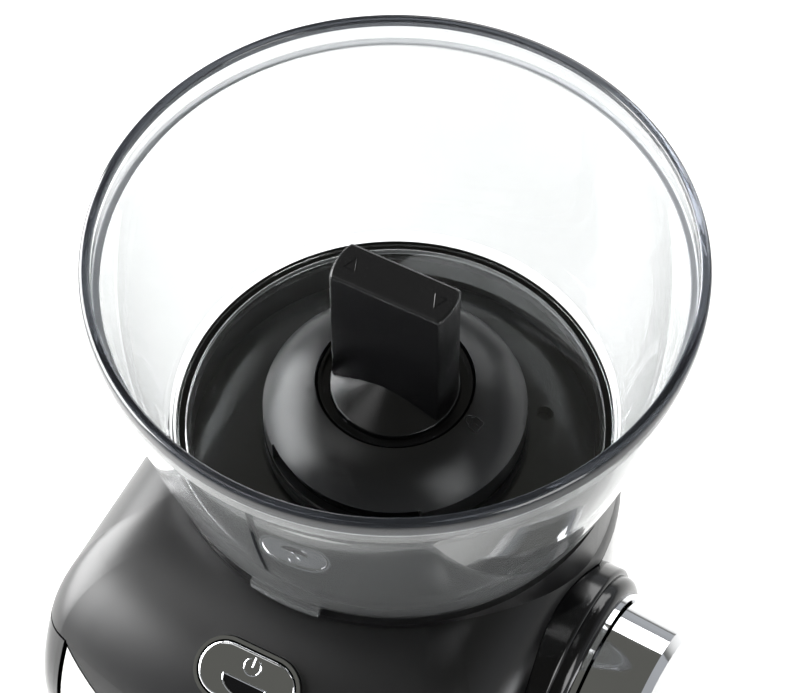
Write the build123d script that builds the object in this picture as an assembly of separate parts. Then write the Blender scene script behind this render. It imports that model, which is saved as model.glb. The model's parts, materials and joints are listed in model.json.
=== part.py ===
from build123d import *
import os
from functools import lru_cache
from math import acos, asin, atan2, cos, degrees, pi, radians, sin, sqrt, tan

# A conical-burr coffee grinder. Millimetres, +Z up, front towards -Y, dial towards +X.
# The drive axis is x = y = 0, and z = 0 is the table.

# Body: plan is a half circle behind and a shallow arc in front
HALF_W = 59.0
FRONT_Y = -98.0
FRONT_R = 160.0
CORNER_R = 10.0
WALL = 2.5
SEAM_GAP = 0.5
FIT = 0.3

# Heights of the body
FOOT_H = 4.0
BASE_H = 20.0
BAY_H = 148.0
HEAD_SIDE_H = 83.0
CROWN_H = 21.6
BASE_Z = FOOT_H + BASE_H
HEAD_Z = BASE_Z + BAY_H
SEAM_Z = HEAD_Z + HEAD_SIDE_H
TOP_Z = SEAM_Z + CROWN_H

# Roundings of the head, and the cover's tongue over the front panel
NOSE_R = 45.0
SHOULDER_R = 22.0
NOSE_STEPS = 7
SHOULDER_STEPS = 8
TONGUE_DROP = 12.0
TONGUE_HALF_W = 50.0
PANEL_GAP = 1.4
LIP_W = 4.0
LIP_T = 2.0
COLUMN_FRONT_Y = -4.0
BASE_PROUD = 2.0
BASE_TOE = 4.0
COVER_LIP_DROP = 4.0
COVER_LIP_RISE = 2.5
ZONE_AHEAD = 20.0
ZONE_DEEP = 36.0
FAR = 200.0

# Base, feet and mat
FOOT_INSET = 9.0
FOOT_W = 7.0
FOOT_GROOVE = 1.0
PLATE_T = 2.5
MAT_T = 1.6
MAT_PROUD = 0.6
MAT_GAP = 0.2
MAT_SHORT = 4.0
BASE_EDGE_R = 1.6
CABLE_HOLE_R = 10.0
CABLE_HOLE_Y = 22.0
SCREW_R = 1.6
SCREW_HEAD_R = 3.2
SCREW_HEAD_H = 2.0
SCREW_WEB = 1.0
BASE_SCREW_LEN = 12.0
BOSS_R = 4.5
BASE_SCREW_X = 38.0
BASE_SCREW_IN = 26.0
BASE_SCREW_BACK_X = 31.0
BASE_SCREW_BACK_Y = 26.0

# Hopper
RIM_R = 75.0
RIM_Z = 350.0
LIP_R = 2.3
COLLAR_R = 72.2
COLLAR_DEPTH = 7.0
HOPPER_WALL = 2.2
HOPPER_BULGE = 1.6
COLLAR_IN = 0.8
FOOT_SLOPE = 1.5
GASKET_W = 6.0
HOPPER_BASE_R = 59.0
HOPPER_BASE_LIFT = 5.0
SEAT_R = 58.0
SEAT_W = 5.5
SEAT_H = 1.4
RIB_OUT_R = 56.0
RIB_IN_R = 53.5
THROAT_R = 26.0
THROAT_DROP = 26.0
THROAT_WALL = 1.8
TAB_HALF_W = 9.7
TAB_PROUD = 0.3
PEG_R = 1.5
PEG_X = 32.0
PEG_Y = 22.0
PEG_DROP = 2.0
INTERLOCK_IN = 5.5
INTERLOCK_OUT = 3.0
INTERLOCK_H = 12.0

# Dome, knob and shutter in the hopper
DOME_R = 33.5
DOME_TOP_R = 20.2
DOME_RISE = 16.3
DOME_T = 2.0
DOME_BEND_IN = 6.5
DOME_BEND_DROP = 3.2
KNOB_R = 16.0
KNOB_T = 11.5
KNOB_H = 42.0
KNOB_GROOVE_R = 16.4
KNOB_SINK = 3.5
KNOB_CONE = 25.0
KNOB_SIDE_R = 2.0
KNOB_TOP_R = 1.2
SHUTTER_POST_R = 6.0
SHUTTER_GAP = 0.6
SHUTTER_T = 2.0
WINDOW_DEG = 78.0
WINDOW_H = 8.0

# Power button on the nose
BUTTON_Y = -77.4
BUTTON_L = 26.0
BUTTON_W = 14.0
BEZEL_W = 0.9
BUTTON_GAP = 0.35
BUTTON_TRAVEL = 1.5
BUTTON_PROUD = 1.3
BUTTON_DEEP = 6.0
BUTTON_EDGE_R = 0.8
BEZEL_DEEP = 8.0
BEZEL_PROUD = 0.9
LENS_MARGIN = 2.4
LENS_LOWER = 0.8
LENS_STRETCH = (1.25, 0.85, 1)
STEM_R = 3.0
STEM_END = 9.0
SWITCH_W = 8.0
SWITCH_H = 5.0
PLUNGER_R = 1.75
BOARD_LONG = 44.0
BOARD_WIDE = 22.0
LED_R = 1.5
LED_H = 4.0
LED_LOWER = 7.5
BOARD_DEPTH = 18.0
BOARD_T = 1.6
POST_X = 17.6
POST_R = 2.6

# Grind dial on the right side
DIAL_Y = -21.0
DIAL_Z = 232.0
DIAL_R = 25.2
DIAL_END_R = 24.2
DIAL_LEN = 16.0
DIAL_EDGE = 2.0
DIAL_SKIRT = 3.0
DIAL_HUB_R = 7.0
DIAL_HOLLOW = 7.0
DIAL_GRIP = 9.0
TRIM_R = 26.8
TRIM_T = 1.5
BOSS_OUT_R = 31.5
BOSS_IN_R = 30.0
BOSS_STEP = 4.0
BOSS_EDGE_R = 3.0
BOSS_STEP_R = 1.2
DIAL_BOSS_X = 68.5
DIAL_SHAFT_R = 3.0
RUN_FIT = 0.05

# Adjusting gear: pinion, rack, ring
RACK_MODULE = 0.8
RACK_PINION_TEETH = 14
RING_MODULE = 1.0
RING_TEETH = 80
RACK_W = 5.0
RACK_T = 5.5
RACK_TRAVEL = 12.0
GUIDE_FRONT = 12.0
GUIDE_BACK_Y = -1.0
GUIDE_DROP = 6.0
GEAR_THIN = 0.14

# Grinding set
CHAMBER_R = 34.0
CHAMBER_WALL = 3.4
CHAMBER_FLOOR = 9.0
CARRIER_WALL = 3.8
CARRIER_LIFT = 0.5
BURR_R = 20.0
BURR_H = 27.0
BURR_RIM = 5.0
BURR_TOP_R = 9.0
BURR_GAP = 0.7
FLUTES = 12
SHAFT_R = 4.0
BEARING_R = 11.0
BEARING_H = 7.0
SWEEPER_H = 4.0
SWEEPER_HUB_R = 9.0
SWEEPER_ARM_W = 3.0
OUTLET_H = 16.0
CARRIER_LOW = 4.0
CARRIER_FLANGE_T = 3.0
CARRIER_SHELF = 5.2
FLANGE_IN = 5.0
COLLAR_W = 3.0
FLUTE_TURN = 14.0
FLUTE_DEEP = 3.0
FLUTE_W = 2.0
NUT_R = 7.0
NUT_H = 5.0

# Drive train
MOTOR_Y = 31.0
MOTOR_R = 21.0
MOTOR_LEN = 78.0
MOTOR_WALL = 2.0
MOTOR_SHAFT_R = 2.5
END_CAP_T = 6.0
GEAR_MODULE = 1.0
OUTPUT_TEETH = 42
IDLER_SMALL_TEETH = 14
IDLER_BIG_TEETH = 45
PINION_TEETH = 13
GEARBOX_FLOOR = 6.0
GEAR_LIFT = 1.0
GEAR_FACE = 7.0
GEARBOX_LID = 3.0
GEARBOX_DEEP = 84.0
GEARBOX_CORNER_R = 16.0
GEARBOX_BACK = 10.0
GEARBOX_WALL = 3.0
GEARBOX_SCREWS = ((44.0, -20.0), (30.0, 43.0))
MOTOR_SCREW_X = 13.0
MOTOR_FLOOR = 3.0
ARMATURE_GAP = 1.5
ARMATURE_END = 6.0
ARMATURE_SHORT = 18.0
ARMATURE_SLOTS = 8
PIN_R = 3.0
SNUG = 0.02
LEDGE_T = 4.0

# Outlet and bin
SPOUT_Y = -52.0
SPOUT_IN = 18.0
SPOUT_WALL = 2.0
SPOUT_DROP = 14.0
CHUTE_NOSE = 4.0
CHUTE_FALL = 10.0
BIN_HALF_W = 44.0
BIN_FRONT_Y = -92.0
BIN_BACK_Y = -9.0
BIN_H = 112.0
BIN_WALL = 2.2
BIN_CORNER_R = 15.0
LID_T = 3.0
LID_SKIRT = 6.0
LID_HOLE_R = 21.0
LID_PROUD = 0.8
LID_EDGE_R = 1.4
LID_SKIRT_T = 2.0
BIN_FOOT_R = 4.0

# Cord inlet and vents
GLAND_Z = 44.0
GLAND_R = 7.0
GLAND_BORE_R = 4.0
GLAND_LEN = 12.0
GLAND_LIP = 2.5
GLAND_LIP_T = 2.0
VENT_W = 3.0
VENT_H = 46.0
VENT_PITCH = 7.0
VENTS = 9

# Power board behind the bay's wall
POWER_HALF_W = 32.0
POWER_LOW = 10.0
POWER_H = 50.0
CAPACITOR_R = 7.0
CAPACITOR_LEN = 14.0
CAPACITOR_X = -16.0
CAPACITOR_Z = 32.0
RELAY = (18.0, 12.0, 24.0)
RELAY_X = 13.0

# Heights and places worked out from the sizes above
FRONT_CY = FRONT_Y + FRONT_R
NOSE_CZ = TOP_Z - NOSE_R
SEAT_Z = TOP_Z + SEAT_H
HOPPER_Z = SEAT_Z + HOPPER_BASE_LIFT
FLOOR_Z = HOPPER_Z - HOPPER_WALL
THROAT_Z = FLOOR_Z - THROAT_DROP
TONGUE_R = (TONGUE_HALF_W**2 + TONGUE_DROP**2) / (2 * TONGUE_DROP)
TONGUE_CZ = SEAM_Z - TONGUE_DROP + TONGUE_R
FLOOR_TOP_Z = HEAD_Z + WALL
GEARBOX_Z = HEAD_Z + LEDGE_T
LOW_GEAR_Z = GEARBOX_Z + GEARBOX_FLOOR + GEAR_LIFT
HIGH_GEAR_Z = LOW_GEAR_Z + GEAR_FACE + GEAR_LIFT
GEARBOX_TOP = HIGH_GEAR_Z + GEAR_FACE + 2 * GEAR_LIFT
CHAMBER_Z = GEARBOX_TOP + GEARBOX_LID
GRIND_Z = CHAMBER_Z + CHAMBER_FLOOR
BURR_Z = GRIND_Z + FIT + SWEEPER_H + FIT
RACK_PINION_R = RACK_MODULE * RACK_PINION_TEETH / 2
RING_R = RING_MODULE * RING_TEETH / 2
RACK_Z = DIAL_Z + RACK_PINION_R
RING_Z = RACK_Z + 1.1 * RACK_MODULE
CHAMBER_TOP = RING_Z - FIT
CHAMBER_IN_R = CHAMBER_R - CHAMBER_WALL
CARRIER_R = CHAMBER_IN_R - FIT
RING_BURR_R = CARRIER_R - CARRIER_WALL
CARRIER_FLANGE_Z = RING_Z + RACK_T + FIT + CARRIER_LIFT
RACK_X = RING_R + 1.1 * RING_MODULE
GUIDE_X = RACK_X + RACK_W + FIT
RACK_TONGUE = 2.0
RACK_TONGUE_SHORT = 4.0
DIAL_X = DIAL_BOSS_X + FIT + TRIM_T + FIT
BUTTON_Z = NOSE_CZ + sqrt(NOSE_R**2 - (BUTTON_Y - FRONT_Y - NOSE_R)**2)
BUTTON_TILT = degrees(asin((FRONT_Y + NOSE_R - BUTTON_Y) / NOSE_R))
KNOB_Z = HOPPER_Z + DOME_RISE
BIN_Z = BASE_Z + MAT_PROUD + FIT
BIN_TOP = BIN_Z + BIN_H
DIST_LOW = GEAR_MODULE * (OUTPUT_TEETH + IDLER_SMALL_TEETH) / 2
DIST_HIGH = GEAR_MODULE * (IDLER_BIG_TEETH + PINION_TEETH) / 2
IDLER_Y = (DIST_LOW**2 - DIST_HIGH**2 + MOTOR_Y**2) / (2 * MOTOR_Y)
IDLER_X = -sqrt(DIST_LOW**2 - IDLER_Y**2)
PRESSURE = radians(20)


# Plain shapes
def rod(r, z0, z1, x=0.0, y=0.0):
    """Upright round bar."""
    return Pos(x, y, (z0 + z1) / 2) * Cylinder(r, z1 - z0)


def ring(outer, inner, z0, z1, x=0.0, y=0.0):
    """Upright tube."""
    return rod(outer, z0, z1, x, y) - rod(inner, z0 - 1, z1 + 1, x, y)


def rod_x(r, x0, x1, y, z):
    """Round bar along X."""
    return Pos((x0 + x1) / 2, y, z) * Rot(0, 90, 0) * Cylinder(r, x1 - x0)


def rod_y(r, y0, y1, x, z):
    """Round bar along Y."""
    return Pos(x, (y0 + y1) / 2, z) * Rot(90, 0, 0) * Cylinder(r, y1 - y0)


def block(x0, x1, y0, y1, z0, z1):
    """Box between two corners."""
    return Pos((x0 + x1) / 2, (y0 + y1) / 2, (z0 + z1) / 2) * Box(x1 - x0, y1 - y0, z1 - z0)


def turned(*points):
    """Body of revolution about Z from a closed outline of (radius, height) points."""
    return revolve(make_face(Plane.XZ * Polyline(*points, close=True)), Axis.Z)


def polar(r, angle):
    """Point at a radius and an angle in radians."""
    return (r * cos(angle), r * sin(angle))


def save(name, *solids):
    """Write one node, which may be a group of separate solids."""
    shape = solids[0] if len(solids) == 1 else Compound(children=list(solids))
    export_step(shape, os.path.join("parts", name + ".step"))


# Outlines of the body
def body_outline(side, front, inset):
    """Bullet-shaped plan: half circle behind, straight sides, round corners, shallow front arc."""
    w = HALF_W - side - inset
    big = FRONT_R - front - inset
    r = max(CORNER_R - inset, 1.0)
    cx = w - r
    cy = FRONT_CY - sqrt((big - r)**2 - cx**2)
    lean = atan2(cx, FRONT_CY - cy)
    tip = (cx + r * sin(lean), cy - r * cos(lean))
    bow = (lean + pi / 2) / 2
    mid = (cx + r * sin(bow), cy - r * cos(bow))
    edges = [
        Line((w, cy), (w, 0)),
        ThreePointArc((w, 0), polar(w, pi / 4), (0, w)),
        ThreePointArc((0, w), polar(w, 3 * pi / 4), (-w, 0)),
        Line((-w, 0), (-w, cy)),
        ThreePointArc((-w, cy), (-mid[0], mid[1]), (-tip[0], tip[1])),
        ThreePointArc((-tip[0], tip[1]), (0, FRONT_CY - big), tip),
        ThreePointArc(tip, mid, (w, cy)),
    ]
    return Face(Wire(edges))


def head_section(z, inset):
    """Plan of the head at one height, drawn in by the nose and the shoulders."""
    rise = min(max(z + inset - NOSE_CZ, 0.0), NOSE_R)
    front = NOSE_R - sqrt(NOSE_R**2 - rise**2)
    lift = min(max(z + inset - TOP_Z + SHOULDER_R, 0.0), SHOULDER_R)
    side = SHOULDER_R - sqrt(SHOULDER_R**2 - lift**2)
    return Pos(0, 0, z) * body_outline(side, front, inset)


def head_loft(inset, low, high, steps):
    """Lofted stretch of the head, with levels closer together towards the top."""
    levels = [low + (high - low) * sin(pi / 2 * k / steps) for k in range(steps + 1)]
    return loft([head_section(z, inset) for z in levels])


@lru_cache
def head_solid(inset):
    """Outer form of the head, or the same form drawn in by a wall."""
    waist = TOP_Z - SHOULDER_R - inset
    nose = NOSE_CZ - inset
    bottom = HEAD_Z - inset
    solid = extrude(Pos(0, 0, bottom) * body_outline(0, 0, inset), nose - bottom)
    solid += head_loft(inset, nose, waist, NOSE_STEPS)
    return solid + head_loft(inset, waist, TOP_Z - inset, SHOULDER_STEPS)


@lru_cache
def head_skin():
    """Shell of the head, open below."""
    return head_solid(0) - head_solid(WALL)


def side_band(outside, inside, z0, z1):
    """Upright band that follows the sides and back of the body between two insets."""
    band = extrude(Pos(0, 0, z0) * body_outline(0, 0, outside), z1 - z0)
    return band - extrude(Pos(0, 0, z0 - 1) * body_outline(0, 0, inside), z1 - z0 + 2)


def tongue_zone(grow):
    """The cover's drop over the front panel, an arc seen from the front."""
    return rod_y(TONGUE_R + grow, FRONT_Y - ZONE_AHEAD, FRONT_Y + ZONE_DEEP, 0, TONGUE_CZ)


def front_zone(half):
    """Slab that holds the front panel."""
    low = HEAD_Z - 2 * WALL
    return block(-half, half, FRONT_Y - ZONE_AHEAD, FRONT_Y + ZONE_DEEP, low, SEAM_Z + ZONE_AHEAD)


def above(z):
    """Everything over one height."""
    return block(-FAR, FAR, -FAR, FAR, z, z + FAR)


def below(z):
    """Everything under one height."""
    return block(-FAR, FAR, -FAR, FAR, z - 2 * FAR, z)


def column_outline(inset):
    """Plan of the column: the back of the body closed by a wall behind the bay."""
    w = HALF_W - inset
    y = COLUMN_FRONT_Y + inset
    return Face(Wire([
        Line((w, y), (w, 0)),
        ThreePointArc((w, 0), (0, w), (-w, 0)),
        Line((-w, 0), (-w, y)),
        Line((-w, y), (w, y)),
    ]))


# Housing pieces
def make_rear_housing():
    skin = head_skin() & below(SEAM_Z - SEAM_GAP / 2)
    skin -= front_zone(TONGUE_HALF_W + PANEL_GAP / 2)
    column = extrude(Pos(0, 0, BASE_Z) * column_outline(0), BAY_H)
    column -= extrude(Pos(0, 0, BASE_Z - 1) * column_outline(WALL), BAY_H + 2)
    shell = skin + column + panel_lips()
    clear = gearbox_half() - LEDGE_T
    ledge = block(-HALF_W, HALF_W, 0, MOTOR_Y, HEAD_Z, GEARBOX_Z)
    ledge &= rod(HALF_W - WALL / 2, HEAD_Z, GEARBOX_Z)
    shell += ledge - block(-clear, clear, -1, HALF_W, HEAD_Z - 1, GEARBOX_Z + 1)
    shell += dial_boss()
    shell -= rod_x(DIAL_SHAFT_R + WALL, HALF_W - 3 * WALL, DIAL_BOSS_X + 1, DIAL_Y, DIAL_Z)
    shell -= rod_y(GLAND_R + RUN_FIT, HALF_W - 4 * WALL, HALF_W + 5, 0, GLAND_Z)
    for k in range(VENTS):
        x = (k - (VENTS - 1) / 2) * VENT_PITCH
        z = (BASE_Z + HEAD_Z) / 2 + VENT_H / 3
        shell -= Pos(x, HALF_W - 3 * WALL, z) * Box(VENT_W, 8 * WALL, VENT_H)
    return shell


def panel_lips():
    """Strips behind the panel's upright edges, part of the housing."""
    half = TONGUE_HALF_W + PANEL_GAP / 2
    low = FLOOR_TOP_Z + FIT
    deep = front_zone(half + LIP_W) - front_zone(half - LIP_W)
    joined = front_zone(half + LIP_W) - front_zone(half + FIT)
    lips = side_band(WALL + FIT, WALL + LIP_T, low, NOSE_CZ) & deep
    return lips + (side_band(WALL - FIT, WALL + LIP_T, low, NOSE_CZ) & joined)


def dial_boss():
    """Stepped round boss that carries the dial."""
    step = DIAL_BOSS_X - BOSS_STEP
    lower = rod_x(BOSS_OUT_R, HALF_W - WALL, step, DIAL_Y, DIAL_Z)
    lower = fillet(outer_rim(lower), BOSS_STEP_R)
    upper = rod_x(BOSS_IN_R, HALF_W, DIAL_BOSS_X, DIAL_Y, DIAL_Z)
    return lower + fillet(outer_rim(upper), BOSS_EDGE_R)


def outer_rim(solid):
    """Round edge furthest out along X."""
    return solid.edges().filter_by(GeomType.CIRCLE).group_by(Axis.X)[-1]


def make_top_cover():
    upper = above(SEAM_Z + SEAM_GAP / 2)
    drop = tongue_zone(0) & front_zone(TONGUE_HALF_W)
    cover = head_skin() & (upper + drop)
    lip = side_band(WALL + FIT, WALL + LIP_T, SEAM_Z - COVER_LIP_DROP, SEAM_Z + COVER_LIP_RISE)
    lip += side_band(WALL - FIT, WALL + LIP_T, SEAM_Z + 1, SEAM_Z + COVER_LIP_RISE)
    cover += lip & block(-HALF_W, HALF_W, FRONT_Y + ZONE_DEEP, HALF_W, SEAM_Z - 2 * WALL, SEAM_Z + 2 * WALL)
    cover += ring(SEAT_R, SEAT_R - SEAT_W, SEAM_Z, SEAT_Z) - head_solid(WALL)
    cover -= rod(THROAT_R + THROAT_WALL + 2 * FIT, SEAM_Z, SEAT_Z + 1)
    cover -= rod(PEG_R + 2 * FIT, SEAM_Z, SEAT_Z + 1, PEG_X, PEG_Y)
    cover -= rod_x(BOSS_OUT_R + SEAM_GAP, HALF_W - 4 * WALL, 2 * HALF_W, DIAL_Y, DIAL_Z)
    cover -= button_solid(BUTTON_L + 2 * (BUTTON_GAP + BEZEL_W + 0.1), -30, 10)
    for side in (-1, 1):
        middle = Pos(side * POST_X, 0, -(BOARD_DEPTH + 1) / 2)
        cover += button_plane() * middle * Cylinder(POST_R, BOARD_DEPTH - 1)
    return cover


def make_front_panel():
    skin = head_skin() & front_zone(TONGUE_HALF_W - PANEL_GAP / 2)
    return (skin & above(HEAD_Z + SEAM_GAP)) - tongue_zone(SEAM_GAP) - above(SEAM_Z)


def make_head_floor():
    plate = extrude(Pos(0, 0, HEAD_Z) * body_outline(0, 0, WALL + FIT), WALL)
    plate = plate & block(-HALF_W, HALF_W, FRONT_Y, COLUMN_FRONT_Y - FIT, HEAD_Z - 1, FLOOR_TOP_Z + 1)
    half = SPOUT_IN / 2 + SPOUT_WALL + FIT
    return plate - block(-half, half, SPOUT_Y - half, SPOUT_Y + half, HEAD_Z - 1, FLOOR_TOP_Z + 1)


def base_outline(inset):
    """Plan of the base, a little proud of the body all round."""
    return body_outline(-BASE_PROUD, -BASE_TOE, inset)


def screw_places():
    """Base screws, inside the foot ring."""
    front = [(side * BASE_SCREW_X, FRONT_Y + BASE_SCREW_IN) for side in (-1, 1)]
    return front + [(side * BASE_SCREW_BACK_X, BASE_SCREW_BACK_Y) for side in (-1, 1)]


def make_base_housing():
    tray = extrude(Pos(0, 0, FOOT_H) * base_outline(0), BASE_H)
    tray = fillet(tray.faces().sort_by(Axis.Z)[-1].edges(), BASE_EDGE_R)
    tray -= extrude(Pos(0, 0, FOOT_H - 1) * base_outline(WALL), BASE_H - WALL + 1)
    for x, y in screw_places():
        tray += ring(BOSS_R, SCREW_R + RUN_FIT, FOOT_H + PLATE_T, BASE_Z - WALL + 0.5, x, y)
    tray -= mat_solid(BASE_Z + MAT_PROUD - MAT_T, BASE_Z + 1, MAT_GAP)
    return tray - rod(CABLE_HOLE_R, FOOT_H, BASE_Z + 1, 0, CABLE_HOLE_Y)


def mat_solid(z0, z1, grow):
    """Mat outline: the bay's floor within a margin."""
    face = Pos(0, (BIN_FRONT_Y + BIN_BACK_Y) / 2) * RectangleRounded(
        2 * BIN_HALF_W + 2 * grow, BIN_BACK_Y - BIN_FRONT_Y - MAT_SHORT + 2 * grow, BIN_CORNER_R)
    return extrude(Pos(0, 0, z0) * face, z1 - z0)


def make_base_plate():
    plate = extrude(Pos(0, 0, FOOT_H) * base_outline(WALL + FIT), PLATE_T)
    plate -= foot_ring_solid(FOOT_H - 1, FOOT_H + FOOT_GROOVE, 0.1)
    for x, y in screw_places():
        plate -= rod(SCREW_R + FIT, 0, BASE_Z, x, y)
        plate -= rod(SCREW_HEAD_R + FIT, 0, FOOT_H + PLATE_T - SCREW_WEB, x, y)
    return plate


def foot_ring_solid(z0, z1, grow):
    face = Pos(0, 0, z0) * base_outline(FOOT_INSET - grow)
    hole = Pos(0, 0, z0 - 1) * base_outline(FOOT_INSET + FOOT_W + grow)
    return extrude(face, z1 - z0) - extrude(hole, z1 - z0 + 2)


def make_base_screws():
    top = FOOT_H + PLATE_T - SCREW_WEB
    solids = []
    for x, y in screw_places():
        head = rod(SCREW_HEAD_R, top - SCREW_HEAD_H + SCREW_WEB, top, x, y)
        solids.append(head + rod(SCREW_R, top, top + BASE_SCREW_LEN, x, y))
    return solids


def make_cord_gland():
    tail = rod_y(GLAND_R, HALF_W - GLAND_LEN + GLAND_LIP_T, HALF_W, 0, GLAND_Z)
    head = rod_y(GLAND_R + GLAND_LIP, HALF_W + 0.1, HALF_W + GLAND_LIP_T, 0, GLAND_Z)
    neck = rod_y(GLAND_R, HALF_W - 1, HALF_W + 1, 0, GLAND_Z)
    return tail + neck + head - rod_y(GLAND_BORE_R, HALF_W - 2 * GLAND_LEN, HALF_W + 5, 0, GLAND_Z)


# Button group
def button_plane():
    """Plane on the nose, tilted with the surface."""
    tilt = radians(BUTTON_TILT)
    return Plane(origin=(0, BUTTON_Y, BUTTON_Z), x_dir=(1, 0, 0), z_dir=(0, -sin(tilt), cos(tilt)))


def button_solid(length, low, high):
    """Slot-shaped prism on the button's plane, as much wider than the button as it is longer."""
    width = BUTTON_W + length - BUTTON_L
    return button_plane() * extrude(Pos(0, 0, low) * SlotOverall(length, width), high - low)


def make_button_bezel():
    inner = BUTTON_L + 2 * BUTTON_GAP
    bezel = button_solid(inner + 2 * BEZEL_W, -BEZEL_DEEP, BEZEL_PROUD)
    return bezel - button_solid(inner, -BEZEL_DEEP - 1, 2)


def lens_solid(low, high, shrink):
    """Half-moon in the lower half of the button, flat side up."""
    half = BUTTON_W / 2 - LENS_MARGIN - shrink
    moon = Circle(half) & Pos(0, -half) * Rectangle(4 * half, 2 * half)
    return button_plane() * extrude(Pos(0, -LENS_LOWER, low) * scale(moon, LENS_STRETCH), high - low)


def make_power_button():
    cap = button_solid(BUTTON_L, -BUTTON_DEEP, BUTTON_PROUD)
    rim = cap.edges().group_by(Axis(origin=(0, 0, 0), direction=tuple(button_plane().z_dir)))[-1]
    cap = fillet(rim, BUTTON_EDGE_R)
    cap -= lens_solid(BUTTON_PROUD - 1, BUTTON_PROUD + 1, 0)
    stem = button_plane() * Pos(0, 0, 2 - STEM_END) * Cylinder(STEM_R, 4)
    return cap + stem


def make_switch():
    depth = -BOARD_DEPTH
    body = button_plane() * Pos(0, 0, depth + SWITCH_H / 2) * Box(SWITCH_W, SWITCH_W, SWITCH_H)
    return body - button_plane() * Pos(0, 0, depth + 4) * Cylinder(PLUNGER_R + RUN_FIT, 6)


def make_plunger():
    top = -STEM_END
    low = -BOARD_DEPTH + 1 + BUTTON_TRAVEL + FIT
    return button_plane() * Pos(0, 0, (top + low) / 2) * Cylinder(PLUNGER_R, top - low)


def make_control_board():
    return button_plane() * Pos(0, 0, -BOARD_DEPTH - BOARD_T / 2) * Box(BOARD_LONG, BOARD_WIDE, BOARD_T)


def make_led():
    return button_plane() * Pos(0, -LED_LOWER, LED_H / 2 - BOARD_DEPTH) * Cylinder(LED_R, LED_H)


# Dial and adjusting train
def make_dial_knob():
    knob = Rot(0, 90, 0) * Cone(DIAL_R, DIAL_END_R, DIAL_LEN)
    knob = Pos(DIAL_X + DIAL_LEN / 2, DIAL_Y, DIAL_Z) * knob
    knob = chamfer(outer_rim(knob), DIAL_EDGE)
    knob -= rod_x(DIAL_SHAFT_R, DIAL_X - 1, DIAL_X + DIAL_GRIP, DIAL_Y, DIAL_Z)
    hollow = rod_x(DIAL_R - DIAL_SKIRT, DIAL_X - 1, DIAL_X + DIAL_HOLLOW, DIAL_Y, DIAL_Z)
    return knob - (hollow - rod_x(DIAL_HUB_R, DIAL_X - 1, DIAL_X + DIAL_GRIP, DIAL_Y, DIAL_Z))


def make_dial_trim():
    trim = rod_x(TRIM_R, DIAL_BOSS_X, DIAL_BOSS_X + TRIM_T, DIAL_Y, DIAL_Z)
    return trim - rod_x(DIAL_SHAFT_R + WALL + 1, DIAL_BOSS_X - 1, DIAL_X, DIAL_Y, DIAL_Z)


def make_dial_bush():
    bush = rod_x(DIAL_SHAFT_R + WALL, HALF_W - WALL, DIAL_BOSS_X, DIAL_Y, DIAL_Z)
    return bush - rod_x(DIAL_SHAFT_R + RUN_FIT, 0, 2 * HALF_W, DIAL_Y, DIAL_Z)


def make_dial_shaft():
    return rod_x(DIAL_SHAFT_R, RACK_X, DIAL_X + DIAL_GRIP, DIAL_Y, DIAL_Z)


def involute(angle):
    return tan(angle) - angle


def gear_outline(teeth, module, phase):
    """Stub involute teeth, one tooth centred on the phase angle in radians."""
    pitch = module * teeth / 2
    base = pitch * cos(PRESSURE)
    root = pitch - 1.05 * module
    tip = pitch + 0.8 * module
    half = pi / (2 * teeth) - GEAR_THIN / (2 * pitch)
    start = max(base, root)
    radii = [start + (tip - start) * k / 4 for k in range(5)]
    spread = [half + involute(PRESSURE) - involute(acos(min(base / r, 1.0))) for r in radii]
    points = []
    for k in range(teeth):
        middle = phase + 2 * pi * k / teeth
        if start > root:
            points.append(polar(root, middle - spread[0]))
        points += [polar(r, middle - s) for r, s in zip(radii, spread)]
        points += [polar(r, middle + s) for r, s in zip(radii[::-1], spread[::-1])]
        if start > root:
            points.append(polar(root, middle + spread[0]))
    return make_face(Polyline(*points, close=True))


def gear(teeth, module, z0, z1, x=0.0, y=0.0, phase=0.0):
    return extrude(Pos(x, y, z0) * gear_outline(teeth, module, phase), z1 - z0)


def make_rack_pinion():
    upright = Plane(origin=(0, DIAL_Y, DIAL_Z), x_dir=(0, 0, 1), z_dir=(1, 0, 0))
    wheel = upright * gear(RACK_PINION_TEETH, RACK_MODULE, RACK_X + 1, RACK_X + RACK_W)
    return wheel - rod_x(DIAL_SHAFT_R, 0, 2 * HALF_W, DIAL_Y, DIAL_Z)


def rack_teeth(module, start, count):
    """Side view of a row of rack teeth above the pitch line y = 0, spaces centred on start + k*pitch."""
    pitch = pi * module
    slope = tan(PRESSURE)
    points = [(start - pitch / 2 - 0.2, 1.1 * module)]
    for k in range(count):
        middle = start + (k + 0.5) * pitch
        at_tip = pitch / 4 - GEAR_THIN / 2 - 0.8 * module * slope
        at_root = pitch / 4 - GEAR_THIN / 2 + 1.05 * module * slope
        points += [(middle - at_root, 1.05 * module), (middle - at_tip, -0.8 * module)]
        points += [(middle + at_tip, -0.8 * module), (middle + at_root, 1.05 * module)]
    end = start + count * pitch
    points += [(end, 1.05 * module), (end, 2.0 * module), (start - pitch / 2 - 0.2, 2.0 * module)]
    return make_face(Polyline(*points, close=True))


def rack_start(module):
    """First space of a tooth row that reaches past the travel each way."""
    return -ceil_count(module) * pi * module


def ceil_count(module):
    """Teeth on each side of the rest place."""
    return int(RACK_TRAVEL / (pi * module)) + 2


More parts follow.
